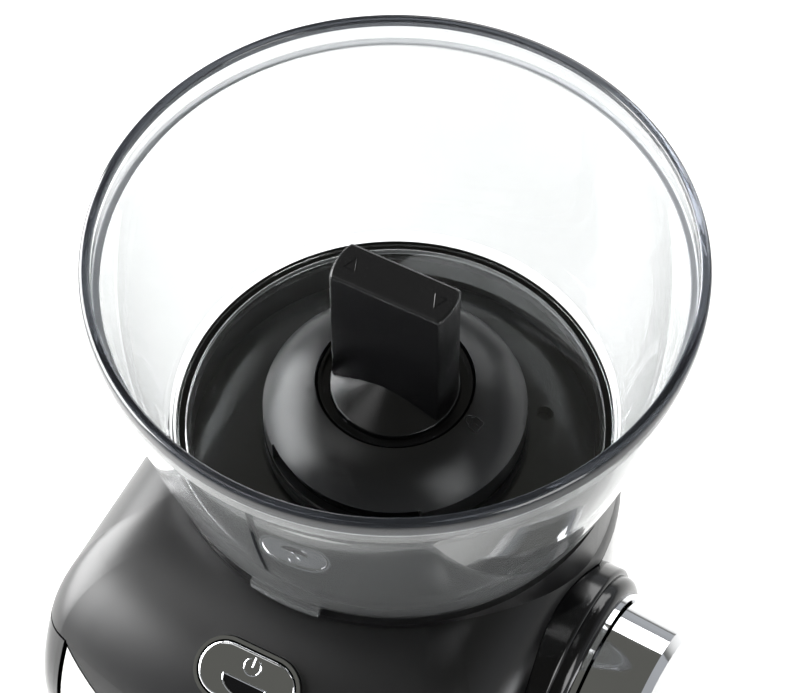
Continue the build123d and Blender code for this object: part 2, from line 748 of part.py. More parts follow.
def make_rack():
    side = RACK_TRAVEL + 2 * RING_MODULE * pi
    low = DIAL_Y - RACK_TRAVEL - 3 * RACK_MODULE * pi
    top = RING_Z + RACK_T
    bar = block(RACK_X, RACK_X + RACK_W, low, side, RING_Z, top)
    n = ceil_count(RING_MODULE)
    row = rack_teeth(RING_MODULE, rack_start(RING_MODULE), 2 * n)
    bar += Pos(RING_R, 0, RING_Z) * Rot(0, 0, -90) * extrude(row, RACK_T)
    n = ceil_count(RACK_MODULE)
    row = rack_teeth(RACK_MODULE, rack_start(RACK_MODULE), 2 * n)
    under = Plane(origin=(RACK_X + 1, DIAL_Y, RACK_Z), x_dir=(0, 1, 0), z_dir=(1, 0, 0))
    bar += under * extrude(row, RACK_W - 1)
    mid = RING_Z + RACK_T / 2
    edge = RACK_X + RACK_W
    return bar + block(edge - 0.5, edge + RACK_TONGUE, low, side - RACK_TONGUE_SHORT, mid - 1, mid + 1)


def make_rack_guide():
    """Block on the side wall that guides the rack and steadies the dial's shaft."""
    mid = RING_Z + RACK_T / 2
    wall = HALF_W - WALL - FIT
    guide = block(GUIDE_X, wall, DIAL_Y - GUIDE_FRONT, GUIDE_BACK_Y, DIAL_Z - GUIDE_DROP, RING_Z + RACK_T + 1)
    guide -= block(GUIDE_X - 1, GUIDE_X + RACK_TONGUE + FIT, -100, 100, mid - 1 - FIT, mid + 1 + FIT)
    return guide - rod_x(DIAL_SHAFT_R + RUN_FIT, 0, 2 * HALF_W, DIAL_Y, DIAL_Z)


def make_adjust_ring():
    """Ring with a toothed sector towards the rack."""
    wheel = extrude(Pos(0, 0, RING_Z) * gear_outline(RING_TEETH, RING_MODULE, 0), RACK_T)
    reach = 2 * RING_R
    sector = block(RING_R * 0.6, reach, -RING_R * 0.62, RING_R * 0.62, RING_Z - 1, RING_Z + RACK_T + 1)
    body = rod(RING_R - 3, RING_Z, RING_Z + RACK_T) + (wheel & sector)
    return body - rod(CARRIER_R + FIT, RING_Z - 1, RING_Z + RACK_T + 1)


# Grinding set
def make_grind_chamber():
    cup = rod(CHAMBER_R, CHAMBER_Z, CHAMBER_TOP) - rod(CHAMBER_IN_R, GRIND_Z, CHAMBER_TOP + 1)
    cup -= rod(BEARING_R + SNUG, GRIND_Z - BEARING_H, GRIND_Z + 1)
    cup -= rod(SHAFT_R + 2, CHAMBER_Z - 1, GRIND_Z)
    half = SPOUT_IN / 2
    return cup - block(-half, half, -CHAMBER_R - 1, -CHAMBER_IN_R + 6, GRIND_Z, GRIND_Z + OUTLET_H)


def make_upper_bearing():
    return ring(BEARING_R, SHAFT_R + RUN_FIT, GRIND_Z - BEARING_H, GRIND_Z)


def make_burr_carrier():
    low = BURR_Z + CARRIER_LOW
    top = CARRIER_FLANGE_Z + CARRIER_FLANGE_T
    sleeve = ring(CARRIER_R, RING_BURR_R + 0.05, low, top)
    shelf = ring(CARRIER_R, RING_BURR_R - CARRIER_SHELF, top - CARRIER_FLANGE_T - 1, top)
    flange = ring(RING_R - FLANGE_IN, CARRIER_R - 1, CARRIER_FLANGE_Z, top)
    collar = ring(RING_R - FLANGE_IN, RING_R - FLANGE_IN - COLLAR_W, top, THROAT_Z - 2 * CARRIER_LIFT)
    body = sleeve + shelf + flange + collar
    for x, y in burr_screw_places():
        body -= rod(SCREW_R, low, top + 1, x, y)
    return body


def burr_screw_places():
    r = RING_BURR_R - 1.5 * SCREW_R
    return [polar(r, 2 * pi * k / 3 + pi / 2) for k in range(3)]


def make_ring_burr():
    low = BURR_Z + CARRIER_LOW
    top = CARRIER_FLANGE_Z - 1
    inner = BURR_R + BURR_GAP
    solid = turned((inner, low), (RING_BURR_R, low), (RING_BURR_R, top), (inner + 1.2, top), (inner, low + 6))
    groove = block(inner - 1, inner + 1.4, -0.6, 0.6, low - 1, top + 1)
    for k in range(2 * FLUTES):
        solid -= Rot(0, 0, 180 * k / FLUTES) * groove
    for x, y in burr_screw_places():
        solid -= rod(SCREW_R, top - 5, top + 1, x, y)
    return solid


def make_ring_burr_screws():
    top = CARRIER_FLANGE_Z + CARRIER_FLANGE_T
    return [rod(SCREW_R - SNUG, top - 8, top, x, y) + rod(SCREW_HEAD_R - 0.6, top, top + 1.2, x, y)
            for x, y in burr_screw_places()]


def make_cone_burr():
    top = BURR_Z + BURR_H
    cone = turned((0, BURR_Z), (BURR_R, BURR_Z), (BURR_R, BURR_Z + BURR_RIM), (BURR_TOP_R, top),
                  (0, top))
    lean = degrees(atan2(BURR_R - BURR_TOP_R, BURR_H - BURR_RIM))
    middle = (BURR_R + BURR_TOP_R) / 2
    flute = Pos(middle, 0, BURR_Z + (BURR_H + BURR_RIM) / 2) * Rot(0, -lean, 0) * Rot(FLUTE_TURN, 0, 0)
    flute = flute * Box(FLUTE_DEEP, FLUTE_W, 2 * BURR_H)
    for k in range(FLUTES):
        cone -= Rot(0, 0, 360 * k / FLUTES) * flute
    return cone - rod(SHAFT_R, BURR_Z - 1, top + 1)


def make_sweeper():
    low = GRIND_Z + FIT
    hub = ring(SWEEPER_HUB_R, SHAFT_R, low, low + SWEEPER_H)
    half = SWEEPER_ARM_W / 2
    for k in range(3):
        arm = block(SHAFT_R + 2, CHAMBER_IN_R - 1.5, -half, half, low, low + SWEEPER_H)
        hub += Rot(0, 0, 120 * k + 30) * arm
    return hub


def make_output_shaft():
    top = BURR_Z + BURR_H + NUT_H + 1
    return rod(SHAFT_R, GEARBOX_Z - 2, top)


def make_burr_nut():
    low = BURR_Z + BURR_H
    nut = extrude(Pos(0, 0, low) * RegularPolygon(NUT_R, 6), NUT_H)
    return nut - rod(SHAFT_R, low - 1, low + NUT_H + 1)


# Drive train
def make_gearbox_base():
    plate = gearbox_outline(0, GEARBOX_Z, GEARBOX_Z + GEARBOX_FLOOR)
    plate -= rod(SHAFT_R + 3, 0, TOP_Z)
    plate -= rod(MOTOR_SHAFT_R + 3, 0, TOP_Z, 0, MOTOR_Y)
    plate -= rod(PIN_R + SNUG, GEARBOX_Z + 1, TOP_Z, IDLER_X, IDLER_Y)
    for x, y in motor_screw_places():
        plate -= rod(SCREW_R + SNUG, 0, TOP_Z, x, y)
    for x, y in gearbox_screw_places():
        plate -= rod(SCREW_R + SNUG, GEARBOX_Z + 1, TOP_Z, x, y)
    return plate


def gearbox_half():
    """Half the width of the gearbox, clear of the side walls."""
    return HALF_W - WALL - LEDGE_T


def gearbox_outline(inset, z0, z1):
    """Rounded plan of the gearbox, within the round back of the body."""
    w = gearbox_half()
    face = RectangleRounded(2 * (w - inset), GEARBOX_DEEP - 2 * inset, GEARBOX_CORNER_R - inset)
    solid = extrude(Pos(0, GEARBOX_BACK, z0) * face, z1 - z0)
    return solid & rod(HALF_W - WALL - 1 - inset, z0 - 1, z1 + 1)


def make_gearbox_lid():
    low = GEARBOX_Z + GEARBOX_FLOOR
    lid = gearbox_outline(0, low, CHAMBER_Z) - gearbox_outline(GEARBOX_WALL, low - 1, GEARBOX_TOP)
    for x, y in gearbox_screw_places():
        lid += rod(BOSS_R, low, CHAMBER_Z, x, y) & gearbox_outline(0, low, CHAMBER_Z)
    lid -= rod(SHAFT_R + 2, low, CHAMBER_Z + 1)
    lid -= rod(PIN_R + SNUG, low, CHAMBER_Z - 1, IDLER_X, IDLER_Y)
    for x, y in gearbox_screw_places():
        lid -= rod(SCREW_R + 0.1, low - 1, CHAMBER_Z + 1, x, y)
    return lid


def gearbox_screw_places():
    return [(side * x, y) for x, y in GEARBOX_SCREWS for side in (-1, 1)]


def make_gearbox_screws():
    low = GEARBOX_Z + 1.5
    return [rod(SCREW_R, low, CHAMBER_Z, x, y) + rod(SCREW_HEAD_R, CHAMBER_Z, CHAMBER_Z + SCREW_HEAD_H, x, y)
            for x, y in gearbox_screw_places()]


def make_lower_bush():
    return ring(SHAFT_R + 3 - SNUG, SHAFT_R + RUN_FIT, GEARBOX_Z, GEARBOX_Z + GEARBOX_FLOOR)


def make_idler_pin():
    return rod(PIN_R, GEARBOX_Z + 1, CHAMBER_Z - 1, IDLER_X, IDLER_Y)


def output_phase():
    return atan2(IDLER_Y, IDLER_X)


def make_output_gear():
    wheel = gear(OUTPUT_TEETH, GEAR_MODULE, LOW_GEAR_Z, LOW_GEAR_Z + GEAR_FACE, 0, 0, output_phase())
    return wheel - rod(SHAFT_R, 0, TOP_Z)


def make_idler_gear():
    small = output_phase() + pi + pi / IDLER_SMALL_TEETH
    big = atan2(MOTOR_Y - IDLER_Y, -IDLER_X)
    high = HIGH_GEAR_Z
    wheel = gear(IDLER_SMALL_TEETH, GEAR_MODULE, LOW_GEAR_Z, high, IDLER_X, IDLER_Y, small)
    wheel += gear(IDLER_BIG_TEETH, GEAR_MODULE, high, high + GEAR_FACE, IDLER_X, IDLER_Y, big)
    return wheel - rod(PIN_R + RUN_FIT, 0, TOP_Z, IDLER_X, IDLER_Y)


def make_motor_pinion():
    phase = atan2(MOTOR_Y - IDLER_Y, -IDLER_X) + pi + pi / PINION_TEETH
    low = HIGH_GEAR_Z
    wheel = gear(PINION_TEETH, GEAR_MODULE, low, low + GEAR_FACE, 0, MOTOR_Y, phase)
    return wheel - rod(MOTOR_SHAFT_R, 0, TOP_Z, 0, MOTOR_Y)


def motor_screw_places():
    return [(-MOTOR_SCREW_X, MOTOR_Y), (MOTOR_SCREW_X, MOTOR_Y)]


def make_motor_can():
    top = GEARBOX_Z - END_CAP_T
    can = rod(MOTOR_R, top - MOTOR_LEN, top, 0, MOTOR_Y)
    can -= rod(MOTOR_R - MOTOR_WALL, top - MOTOR_LEN + MOTOR_FLOOR, top + 1, 0, MOTOR_Y)
    return can - rod(MOTOR_SHAFT_R + RUN_FIT, 0, TOP_Z, 0, MOTOR_Y)


def make_motor_end_cap():
    cap = rod(MOTOR_R, GEARBOX_Z - END_CAP_T, GEARBOX_Z, 0, MOTOR_Y)
    cap -= rod(MOTOR_SHAFT_R + RUN_FIT, 0, TOP_Z, 0, MOTOR_Y)
    for x, y in motor_screw_places():
        cap -= rod(SCREW_R + SNUG, GEARBOX_Z - END_CAP_T + 1, TOP_Z, x, y)
    return cap


def make_motor_screws():
    low = GEARBOX_Z - END_CAP_T + 1
    return [rod(SCREW_R, low, GEARBOX_Z + GEARBOX_FLOOR, x, y) for x, y in motor_screw_places()]


def make_motor_shaft():
    low = GEARBOX_Z - END_CAP_T - MOTOR_LEN - 6
    return rod(MOTOR_SHAFT_R, low, HIGH_GEAR_Z + GEAR_FACE + 1, 0, MOTOR_Y)


def make_armature():
    top = GEARBOX_Z - END_CAP_T - ARMATURE_END
    reach = MOTOR_R - MOTOR_WALL - ARMATURE_GAP
    core = rod(reach, top - MOTOR_LEN + ARMATURE_SHORT, top, 0, MOTOR_Y)
    for k in range(ARMATURE_SLOTS):
        slot = Pos(reach, 0, top - MOTOR_LEN / 2) * Box(6, 2, 2 * MOTOR_LEN)
        core -= Pos(0, MOTOR_Y, 0) * Rot(0, 0, 360 / ARMATURE_SLOTS * k) * slot
    return core - rod(MOTOR_SHAFT_R, 0, TOP_Z, 0, MOTOR_Y)


# Outlet
def make_chute():
    half = SPOUT_IN / 2
    w = SPOUT_WALL
    low = GRIND_Z
    out = SPOUT_Y - half
    back = SPOUT_Y + half
    mouth = -sqrt(CHAMBER_R**2 - (half + w)**2) - 0.1
    outer = [(mouth, low + OUTLET_H), (out - w, low + CHUTE_NOSE), (out - w, FLOOR_TOP_Z + w),
             (back + w, FLOOR_TOP_Z + w), (back + w, low - CHUTE_FALL), (mouth, low - w)]
    inner = [(mouth + 5, low + OUTLET_H - w - 1), (out, low + CHUTE_NOSE - 1), (out, FLOOR_TOP_Z - 5),
             (back, FLOOR_TOP_Z - 5), (back, low - CHUTE_FALL + 1), (mouth + 5, low + 2)]
    solid = Pos(-half - w, 0, 0) * extrude(Plane.YZ * make_face(Polyline(*outer, close=True)), 2 * (half + w))
    hole = Pos(-half, 0, 0) * extrude(Plane.YZ * make_face(Polyline(*inner, close=True)), 2 * half)
    return solid - hole - rod(CHAMBER_R + 0.1, 0, TOP_Z)


def make_spout():
    half = SPOUT_IN / 2
    outer = half + SPOUT_WALL
    tube = block(-outer, outer, SPOUT_Y - outer, SPOUT_Y + outer, HEAD_Z - SPOUT_DROP, FLOOR_TOP_Z)
    edge = outer + 3
    tube += block(-edge, edge, SPOUT_Y - edge, SPOUT_Y + edge, FLOOR_TOP_Z, FLOOR_TOP_Z + SPOUT_WALL)
    return tube - block(-half, half, SPOUT_Y - half, SPOUT_Y + half, 0, TOP_Z)


def bin_face(grow):
    """Bin outline seen from above."""
    width = 2 * (BIN_HALF_W + grow)
    depth = BIN_BACK_Y - BIN_FRONT_Y + 2 * grow
    return Pos(0, (BIN_FRONT_Y + BIN_BACK_Y) / 2) * RectangleRounded(width, depth, BIN_CORNER_R + grow)


def make_bin():
    outer = extrude(Pos(0, 0, BIN_Z) * bin_face(0), BIN_H)
    outer = fillet(outer.faces().sort_by(Axis.Z)[0].edges(), BIN_FOOT_R)
    return outer - extrude(Pos(0, 0, BIN_Z + BIN_WALL) * bin_face(-BIN_WALL), BIN_H)


def make_bin_lid():
    lid = extrude(Pos(0, 0, BIN_TOP) * bin_face(LID_PROUD), LID_T)
    lid = fillet(lid.faces().sort_by(Axis.Z)[-1].edges(), LID_EDGE_R)
    low = BIN_TOP - LID_SKIRT
    inset = BIN_WALL + FIT
    lid += extrude(Pos(0, 0, low) * bin_face(-inset), LID_SKIRT)
    lid -= extrude(Pos(0, 0, low - 1) * bin_face(-inset - LID_SKIRT_T), LID_SKIRT + 1)
    return lid - rod(LID_HOLE_R, 0, TOP_Z, 0, SPOUT_Y)


# Hopper group
def make_hopper():
    step_z = RIM_Z - COLLAR_DEPTH
    inner_z = RIM_Z - COLLAR_DEPTH + LIP_R
    outer_r = RIM_R - COLLAR_IN
    wall_r = COLLAR_R + 0.4
    w = HOPPER_WALL
    mid_r = (wall_r + HOPPER_BASE_R) / 2 + HOPPER_BULGE
    mid_z = (step_z + HOPPER_Z) / 2
    edges = [
        Line((COLLAR_R, inner_z), (COLLAR_R, RIM_Z + LIP_R)),
        Line((COLLAR_R, RIM_Z + LIP_R), (RIM_R - LIP_R, RIM_Z + LIP_R)),
        RadiusArc((RIM_R - LIP_R, RIM_Z + LIP_R), (RIM_R, RIM_Z), LIP_R),
        Line((RIM_R, RIM_Z), (RIM_R, RIM_Z - 1.5)),
        Line((RIM_R, RIM_Z - 1.5), (outer_r, RIM_Z - 2.3)),
        Line((outer_r, RIM_Z - 2.3), (outer_r, step_z + 0.7)),
        Line((outer_r, step_z + 0.7), (wall_r, step_z)),
        ThreePointArc((wall_r, step_z), (mid_r, mid_z), (HOPPER_BASE_R, HOPPER_Z)),
        Line((HOPPER_BASE_R, HOPPER_Z), (HOPPER_BASE_R - FOOT_SLOPE, FLOOR_Z)),
        Line((HOPPER_BASE_R - FOOT_SLOPE, FLOOR_Z), (RIB_OUT_R, FLOOR_Z)),
        Line((RIB_OUT_R, FLOOR_Z), (RIB_OUT_R, SEAT_Z)),
        Line((RIB_OUT_R, SEAT_Z), (RIB_IN_R, SEAT_Z)),
        Line((RIB_IN_R, SEAT_Z), (RIB_IN_R, FLOOR_Z)),
        Line((RIB_IN_R, FLOOR_Z), (THROAT_R + THROAT_WALL, FLOOR_Z)),
        Line((THROAT_R + THROAT_WALL, FLOOR_Z), (THROAT_R + THROAT_WALL, THROAT_Z)),
        Line((THROAT_R + THROAT_WALL, THROAT_Z), (THROAT_R, THROAT_Z)),
        Line((THROAT_R, THROAT_Z), (THROAT_R, HOPPER_Z)),
        Line((THROAT_R, HOPPER_Z), (HOPPER_BASE_R - w - 0.4, HOPPER_Z)),
        ThreePointArc((HOPPER_BASE_R - w - 0.4, HOPPER_Z), (mid_r - w, mid_z), (wall_r - w, inner_z)),
        Line((wall_r - w, inner_z), (COLLAR_R, inner_z)),
    ]
    bowl = revolve(Face(Wire([Plane.XZ * edge for edge in edges])), Axis.Z)
    tab = ring(HOPPER_BASE_R + TAB_PROUD, RIB_IN_R + 1, SEAT_Z + FIT, FLOOR_Z + 1)
    tab &= block(-TAB_HALF_W, TAB_HALF_W, -RIM_R, 0, SEAT_Z, HOPPER_Z)
    peg = rod(PEG_R, TOP_Z - WALL - PEG_DROP, FLOOR_Z + 1, PEG_X, PEG_Y)
    return bowl + tab + peg


def make_gasket():
    return ring(THROAT_R + THROAT_WALL + GASKET_W, THROAT_R + THROAT_WALL + 0.1, TOP_Z, FLOOR_Z)


def make_dome():
    z0 = HOPPER_Z
    top = KNOB_Z
    t = DOME_T
    bend = (DOME_R - DOME_BEND_IN, top - DOME_BEND_DROP)
    edges = [
        Line((DOME_R, z0), (DOME_R, z0 + WINDOW_H - 1.5)),
        ThreePointArc((DOME_R, z0 + WINDOW_H - 1.5), bend, (DOME_TOP_R, top)),
        Line((DOME_TOP_R, top), (DOME_TOP_R, top - t)),
        ThreePointArc((DOME_TOP_R, top - t), (bend[0] - t * 0.7, bend[1] - t * 0.7),
                      (DOME_R - t, z0 + WINDOW_H - 1.5)),
        Line((DOME_R - t, z0 + WINDOW_H - 1.5), (DOME_R - t, z0)),
        Line((DOME_R - t, z0), (DOME_R, z0)),
    ]
    dome = revolve(Face(Wire([Plane.XZ * edge for edge in edges])), Axis.Z)
    return dome - window_cut(z0 + 1, z0 + WINDOW_H - 1)


def window_cut(z0, z1):
    """Two opposite wedge-shaped openings, on the front and back."""
    half = radians(WINDOW_DEG / 2)
    reach = 2 * DOME_R
    wedge = make_face(Polyline((0, 0), (reach * sin(half), -reach * cos(half)),
                               (-reach * sin(half), -reach * cos(half)), close=True))
    cut = extrude(Pos(0, 0, z0) * wedge, z1 - z0)
    return cut + Rot(0, 0, 180) * cut


def make_shutter():
    outer = DOME_R - DOME_T - SHUTTER_GAP
    z0 = HOPPER_Z + FIT
    top = HOPPER_Z + WINDOW_H
    inner = outer - SHUTTER_T
    slope = top - 2.5
    drum = turned((inner, z0), (outer, z0), (outer, slope), (outer - DOME_BEND_IN, top + 2), (0, top + 2),
                  (0, top), (inner - 5, top), (inner, slope - 1))
    drum -= window_cut(z0 + 0.7, slope - 1)
    post = rod(SHUTTER_POST_R, top, KNOB_Z - KNOB_SINK)
    return drum + post - rod(SCREW_R, z0, KNOB_Z)


def make_knob():
    low = KNOB_Z - KNOB_SINK
    base = rod(DOME_TOP_R - 0.5, low, KNOB_Z - 0.5)
    base -= ring(DOME_TOP_R - 1.6, KNOB_GROOVE_R, KNOB_Z - 2, KNOB_Z)
    cone_h = KNOB_R * tan(radians(KNOB_CONE))
    base += turned((0, KNOB_Z - 0.5), (KNOB_GROOVE_R, KNOB_Z - 0.5), (0, KNOB_Z - 0.5 + cone_h))
    wing = rod(KNOB_R, KNOB_Z - 0.5, KNOB_Z + KNOB_H)
    wing = wing & block(-KNOB_R, KNOB_R, -KNOB_T / 2, KNOB_T / 2, KNOB_Z - 1, KNOB_Z + KNOB_H)
    wing = fillet(wing.edges().filter_by(Axis.Z), KNOB_SIDE_R)
    wing = fillet(wing.faces().sort_by(Axis.Z)[-1].edges(), KNOB_TOP_R)
    return base + wing - rod(SCREW_R, low - 1, low + 10)


def make_knob_screw():
    top = HOPPER_Z + WINDOW_H
    return rod(SCREW_R - SNUG, top, KNOB_Z + 5) + rod(SCREW_HEAD_R, top - SCREW_HEAD_H, top)


# Safety switch and power board
def make_interlock():
    top = TOP_Z - WALL - FIT
    low = top - INTERLOCK_H
    return block(PEG_X - INTERLOCK_IN, PEG_X + INTERLOCK_OUT, PEG_Y - INTERLOCK_IN, PEG_Y + INTERLOCK_OUT,
                 low, top - PEG_DROP)


def make_power_board():
    y = COLUMN_FRONT_Y + WALL + FIT
    low = BASE_Z + POWER_LOW
    face = y + BOARD_T
    board = block(-POWER_HALF_W, POWER_HALF_W, y, face, low, low + POWER_H)
    cap = rod_y(CAPACITOR_R, face, face + CAPACITOR_LEN, CAPACITOR_X, BASE_Z + CAPACITOR_Z)
    relay = Pos(RELAY_X, face + RELAY[1] / 2, BASE_Z + CAPACITOR_Z) * Box(*RELAY)
    return [board, cap, relay]


def main():
    os.makedirs("parts", exist_ok=True)
    save("rear_housing", make_rear_housing())
    save("top_cover", make_top_cover())
    save("front_panel", make_front_panel())
    save("head_floor", make_head_floor())
    save("base_housing", make_base_housing())
    save("base_plate", make_base_plate())
    save("foot_ring", foot_ring_solid(0, FOOT_H + FOOT_GROOVE, 0))
    save("deck_mat", mat_solid(BASE_Z + MAT_PROUD - MAT_T, BASE_Z + MAT_PROUD, 0))
    save("base_screws", *make_base_screws())
    save("cord_gland", make_cord_gland())
    save("button_bezel", make_button_bezel())
    save("power_button", make_power_button())
    save("button_lens", lens_solid(BUTTON_PROUD - 1, BUTTON_PROUD - 0.1, 0.05))
    save("switch_plunger", make_plunger())
    save("tact_switch", make_switch())
    save("control_board", make_control_board())
    save("indicator_led", make_led())
    save("dial_knob", make_dial_knob())
    save("dial_trim_ring", make_dial_trim())
    save("dial_bush", make_dial_bush())
    save("dial_shaft", make_dial_shaft())
    save("dial_pinion", make_rack_pinion())
    save("adjust_rack", make_rack())
    save("rack_guide", make_rack_guide())
    save("adjust_ring", make_adjust_ring())
    save("grind_chamber", make_grind_chamber())
    save("upper_bearing", make_upper_bearing())
    save("burr_carrier", make_burr_carrier())
    save("ring_burr", make_ring_burr())
    save("ring_burr_screws", *make_ring_burr_screws())
    save("cone_burr", make_cone_burr())
    save("sweeper", make_sweeper())
    save("output_shaft", make_output_shaft())
    save("burr_nut", make_burr_nut())
    save("gearbox_base", make_gearbox_base())
    save("gearbox_lid", make_gearbox_lid())
    save("gearbox_screws", *make_gearbox_screws())
    save("lower_bush", make_lower_bush())
    save("idler_pin", make_idler_pin())
    save("output_gear", make_output_gear())
    save("idler_gear", make_idler_gear())
    save("motor_pinion", make_motor_pinion())
    save("motor_can", make_motor_can())
    save("motor_end_cap", make_motor_end_cap())
    save("motor_screws", *make_motor_screws())
    save("motor_shaft", make_motor_shaft())
    save("motor_armature", make_armature())
    save("grounds_chute", make_chute())
    save("spout", make_spout())
    save("grounds_bin", make_bin())
    save("bin_lid", make_bin_lid())
    save("hopper", make_hopper())
    save("hopper_gasket", make_gasket())
    save("hopper_dome", make_dome())
    save("hopper_shutter", make_shutter())
    save("hopper_knob", make_knob())
    save("knob_screw", make_knob_screw())
    save("interlock_switch", make_interlock())
    save("power_board", *make_power_board())


main()
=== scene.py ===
"""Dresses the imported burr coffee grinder: finishes for its solids, and finer pieces where they show."""

import json
from math import asin, atan2, cos, hypot, pi, radians, sin, sqrt, tan

import bmesh
import bpy
from mathutils import Matrix, Vector


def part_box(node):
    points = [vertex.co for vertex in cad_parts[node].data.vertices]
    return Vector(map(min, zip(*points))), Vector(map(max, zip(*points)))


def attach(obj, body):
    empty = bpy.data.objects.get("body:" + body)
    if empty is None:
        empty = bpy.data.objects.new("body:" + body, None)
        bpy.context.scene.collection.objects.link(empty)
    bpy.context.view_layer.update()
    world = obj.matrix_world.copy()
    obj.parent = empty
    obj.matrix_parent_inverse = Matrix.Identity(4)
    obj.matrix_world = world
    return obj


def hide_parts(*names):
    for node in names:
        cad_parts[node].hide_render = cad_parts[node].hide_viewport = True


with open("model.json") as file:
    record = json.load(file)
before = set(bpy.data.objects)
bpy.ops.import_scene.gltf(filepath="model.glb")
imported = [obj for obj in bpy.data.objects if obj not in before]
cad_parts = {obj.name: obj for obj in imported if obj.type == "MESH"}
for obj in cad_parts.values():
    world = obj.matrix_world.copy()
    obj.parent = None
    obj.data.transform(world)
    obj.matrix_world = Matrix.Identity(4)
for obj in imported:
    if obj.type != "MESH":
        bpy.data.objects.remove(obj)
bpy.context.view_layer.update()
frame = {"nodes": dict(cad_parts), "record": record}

bl_info = {
    "name": "Burr coffee grinder",
    "version": (1, 0, 0),
    "blender": (4, 5, 0),
    "location": "3D View > Sidebar > Grinder",
    "description": "Dresses a packed coffee grinder with its finishes and finer pieces",
    "category": "Object",
}

MM = 0.001


def box_mm(name):
    """Lowest and highest corner of a solid in millimetres."""
    return [[v / MM for v in corner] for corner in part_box(name)]


# Heights and radii read from the frame, in millimetres
HOPPER_LOW, HOPPER_HIGH = box_mm("hopper")
KNOB_LOW, KNOB_HIGH = box_mm("hopper_knob")
DOME_LOW, DOME_HIGH = box_mm("hopper_dome")
BUTTON_LOW, BUTTON_HIGH = box_mm("power_button")
BODY_HIGH = box_mm("rear_housing")[1]
BASE_HIGH = box_mm("base_housing")[1]
HEAD_LOW = box_mm("head_floor")[0]
RIM_R = min(HOPPER_HIGH[:2])
RIM_TOP = HOPPER_HIGH[2]
FLOOR_Z = DOME_LOW[2]
FOOT_R = RIM_R - 16.0
SEAT_OUT_R = FOOT_R - 3.0
SEAT_IN_R = FOOT_R - 5.5

# Hopper lip: height of its band and of the skirt below it, thickness, and the step under it
LIP_BAND = 2.3
LIP_SKIRT = 1.5
LIP_WALL = 2.8
LIP_STEP = 0.8

# Hopper wall: how far its top is tucked under the lip, its bow, and how far its foot is drawn in
WALL_TUCK = 2.4
WALL_BOW = 1.6
FOOT_TUCK = 1.5

# Hopper underside: rise of the seat ring over the throat's end, and the throat's two radii
SEAT_RISE = 23.2
THROAT_OUT_R = 27.8
THROAT_IN_R = 26.0

# How far from the lip, the ledge and the floor their finishes reach; the lip's dark tint is painted
# refraction and the ledge's pale tone a painted highlight
EDGE_DROP = 1.0
EDGE_DEPTH = 2.75
LEDGE_REACH = 0.5
FLOOR_REACH = 0.3

# Index tab: half its width, how far it stands out, and the rounding of its corners
TAB_HALF = 9.7
TAB_PROUD = 0.3
TAB_CORNER = 0.8

# Wall rib: half its width at root and crest, its height, and how far its root shows outside
RIB_ROOT = 0.5
RIB_CREST = 0.35
RIB_HEIGHT = 0.7
RIB_SHOW = 0.05

# Knob: radius of the bar's ends, then the disc, the groove round its cone, and the cone's slope
BAR_R = 16.0
DISC_R = 19.7
DISC_H = 3.0
GROOVE_OUT_R = 18.5
GROOVE_IN_R = 16.6
GROOVE_DEEP = 1.5
CONE_R = 16.4
CONE_SLOPE = radians(24)
EDGE_TURNS = (0.26, 0.52, 0.79, 1.05, 1.31, pi / 2)

# Arrows on the knob: distance from the middle, half the width, and the reach of the tip
ARROW_OUT = 11.6
ARROW_HALF = 1.5
ARROW_TIP = 2.2

# Dome: where its shoulder starts, and how its bend lies from its outer edge and its top
DOME_CREST_R = 20.2
DOME_BEND_IN = 6.5
DOME_BEND_DROP = 3.2
DOME_FOOT_RISE = 6.5

# Padlock outline: distances from the axis, half widths, corner, and turn from the right
LOCK_NEAR = 22.4
LOCK_FAR = 24.8
LOCK_HALF = 1.8
LOCK_CORNER = 0.4
LOCK_TURN = radians(4)
BOW_START = 21.7
BOW_REACH = 0.9
BOW_HALF = 1.2
KEYHOLE = (23.3, 23.8, 24.3)

# Button cap: half its width, how far it stands out, and the rounding of its edge
BUTTON_HALF = 7.0
BUTTON_PROUD = 1.3
BUTTON_EDGE = 0.8

# Power symbol: its middle, radius, opening, and the heights along its stroke
POWER_X = 0.4
POWER_Y = 3.4
POWER_R = 2.2
POWER_OPENING = 28
POWER_STROKE = (3.3, 4.5, 5.8)

# Half-moon lens: how far inside the button's edge, the place of its straight side, and its spread
LENS_IN = 2.3
LENS_Y = -0.8
LENS_WIDE = 1.25
LENS_TALL = 0.85

# Vents: counts and pitches of the slats, how far in and up they sit, and the size of one slat
SLAT_COLUMNS = 9
SLAT_ROWS = 8
SLAT_PITCH_X = 7.0
SLAT_PITCH_Z = 6.0
SLAT_IN = 4.0
VENT_RISE = 15.3
SLAT_WIDTH = 5.4
SLAT_DEPTH = 3.0
SLAT_THICKNESS = 0.9
SLAT_SLANT = radians(35)

# Studio in metres and watts: half the floor, the walls' strength, and each softbox's name, place,
# aim, size and power
FLOOR_HALF = 6.0
WALL_STRENGTH = 0.65
SOFTBOXES = [
    ("key_left", (-1.39, -0.25, 0.80), (-0.03, -0.06, 0.27), (1.9, 1.1), 110.0),
    ("top_back", (-0.1, 2.0, 1.3), (0, 0, 0.2), (1.7, 1.0), 20.0),
    ("overhead", (-0.62, -0.40, 1.7), (0, 0, 0.28), (0.5, 0.5), 1.2),
    ("fill_right", (1.45, -0.45, 1.1), (0, 0, 0.25), (0.7, 1.1), 14.0),
]

# Camera: place in metres, direction of view, and lens and sensor in millimetres
CAMERA_PLACE = (0.20996, -0.39240, 0.96418)
CAMERA_AIM = (-0.2652, 0.4988, -0.8251)
CAMERA_LENS = 144.0
CAMERA_SENSOR = 36.0


# Colours and finishes
def linear(hex_colour):
    """Linear RGBA of an sRGB hex colour."""
    parts = [int(hex_colour[i:i + 2], 16) / 255 for i in (1, 3, 5)]
    parts = [v / 12.92 if v <= 0.04045 else ((v + 0.055) / 1.055) ** 2.4 for v in parts]
    return (*parts, 1.0)


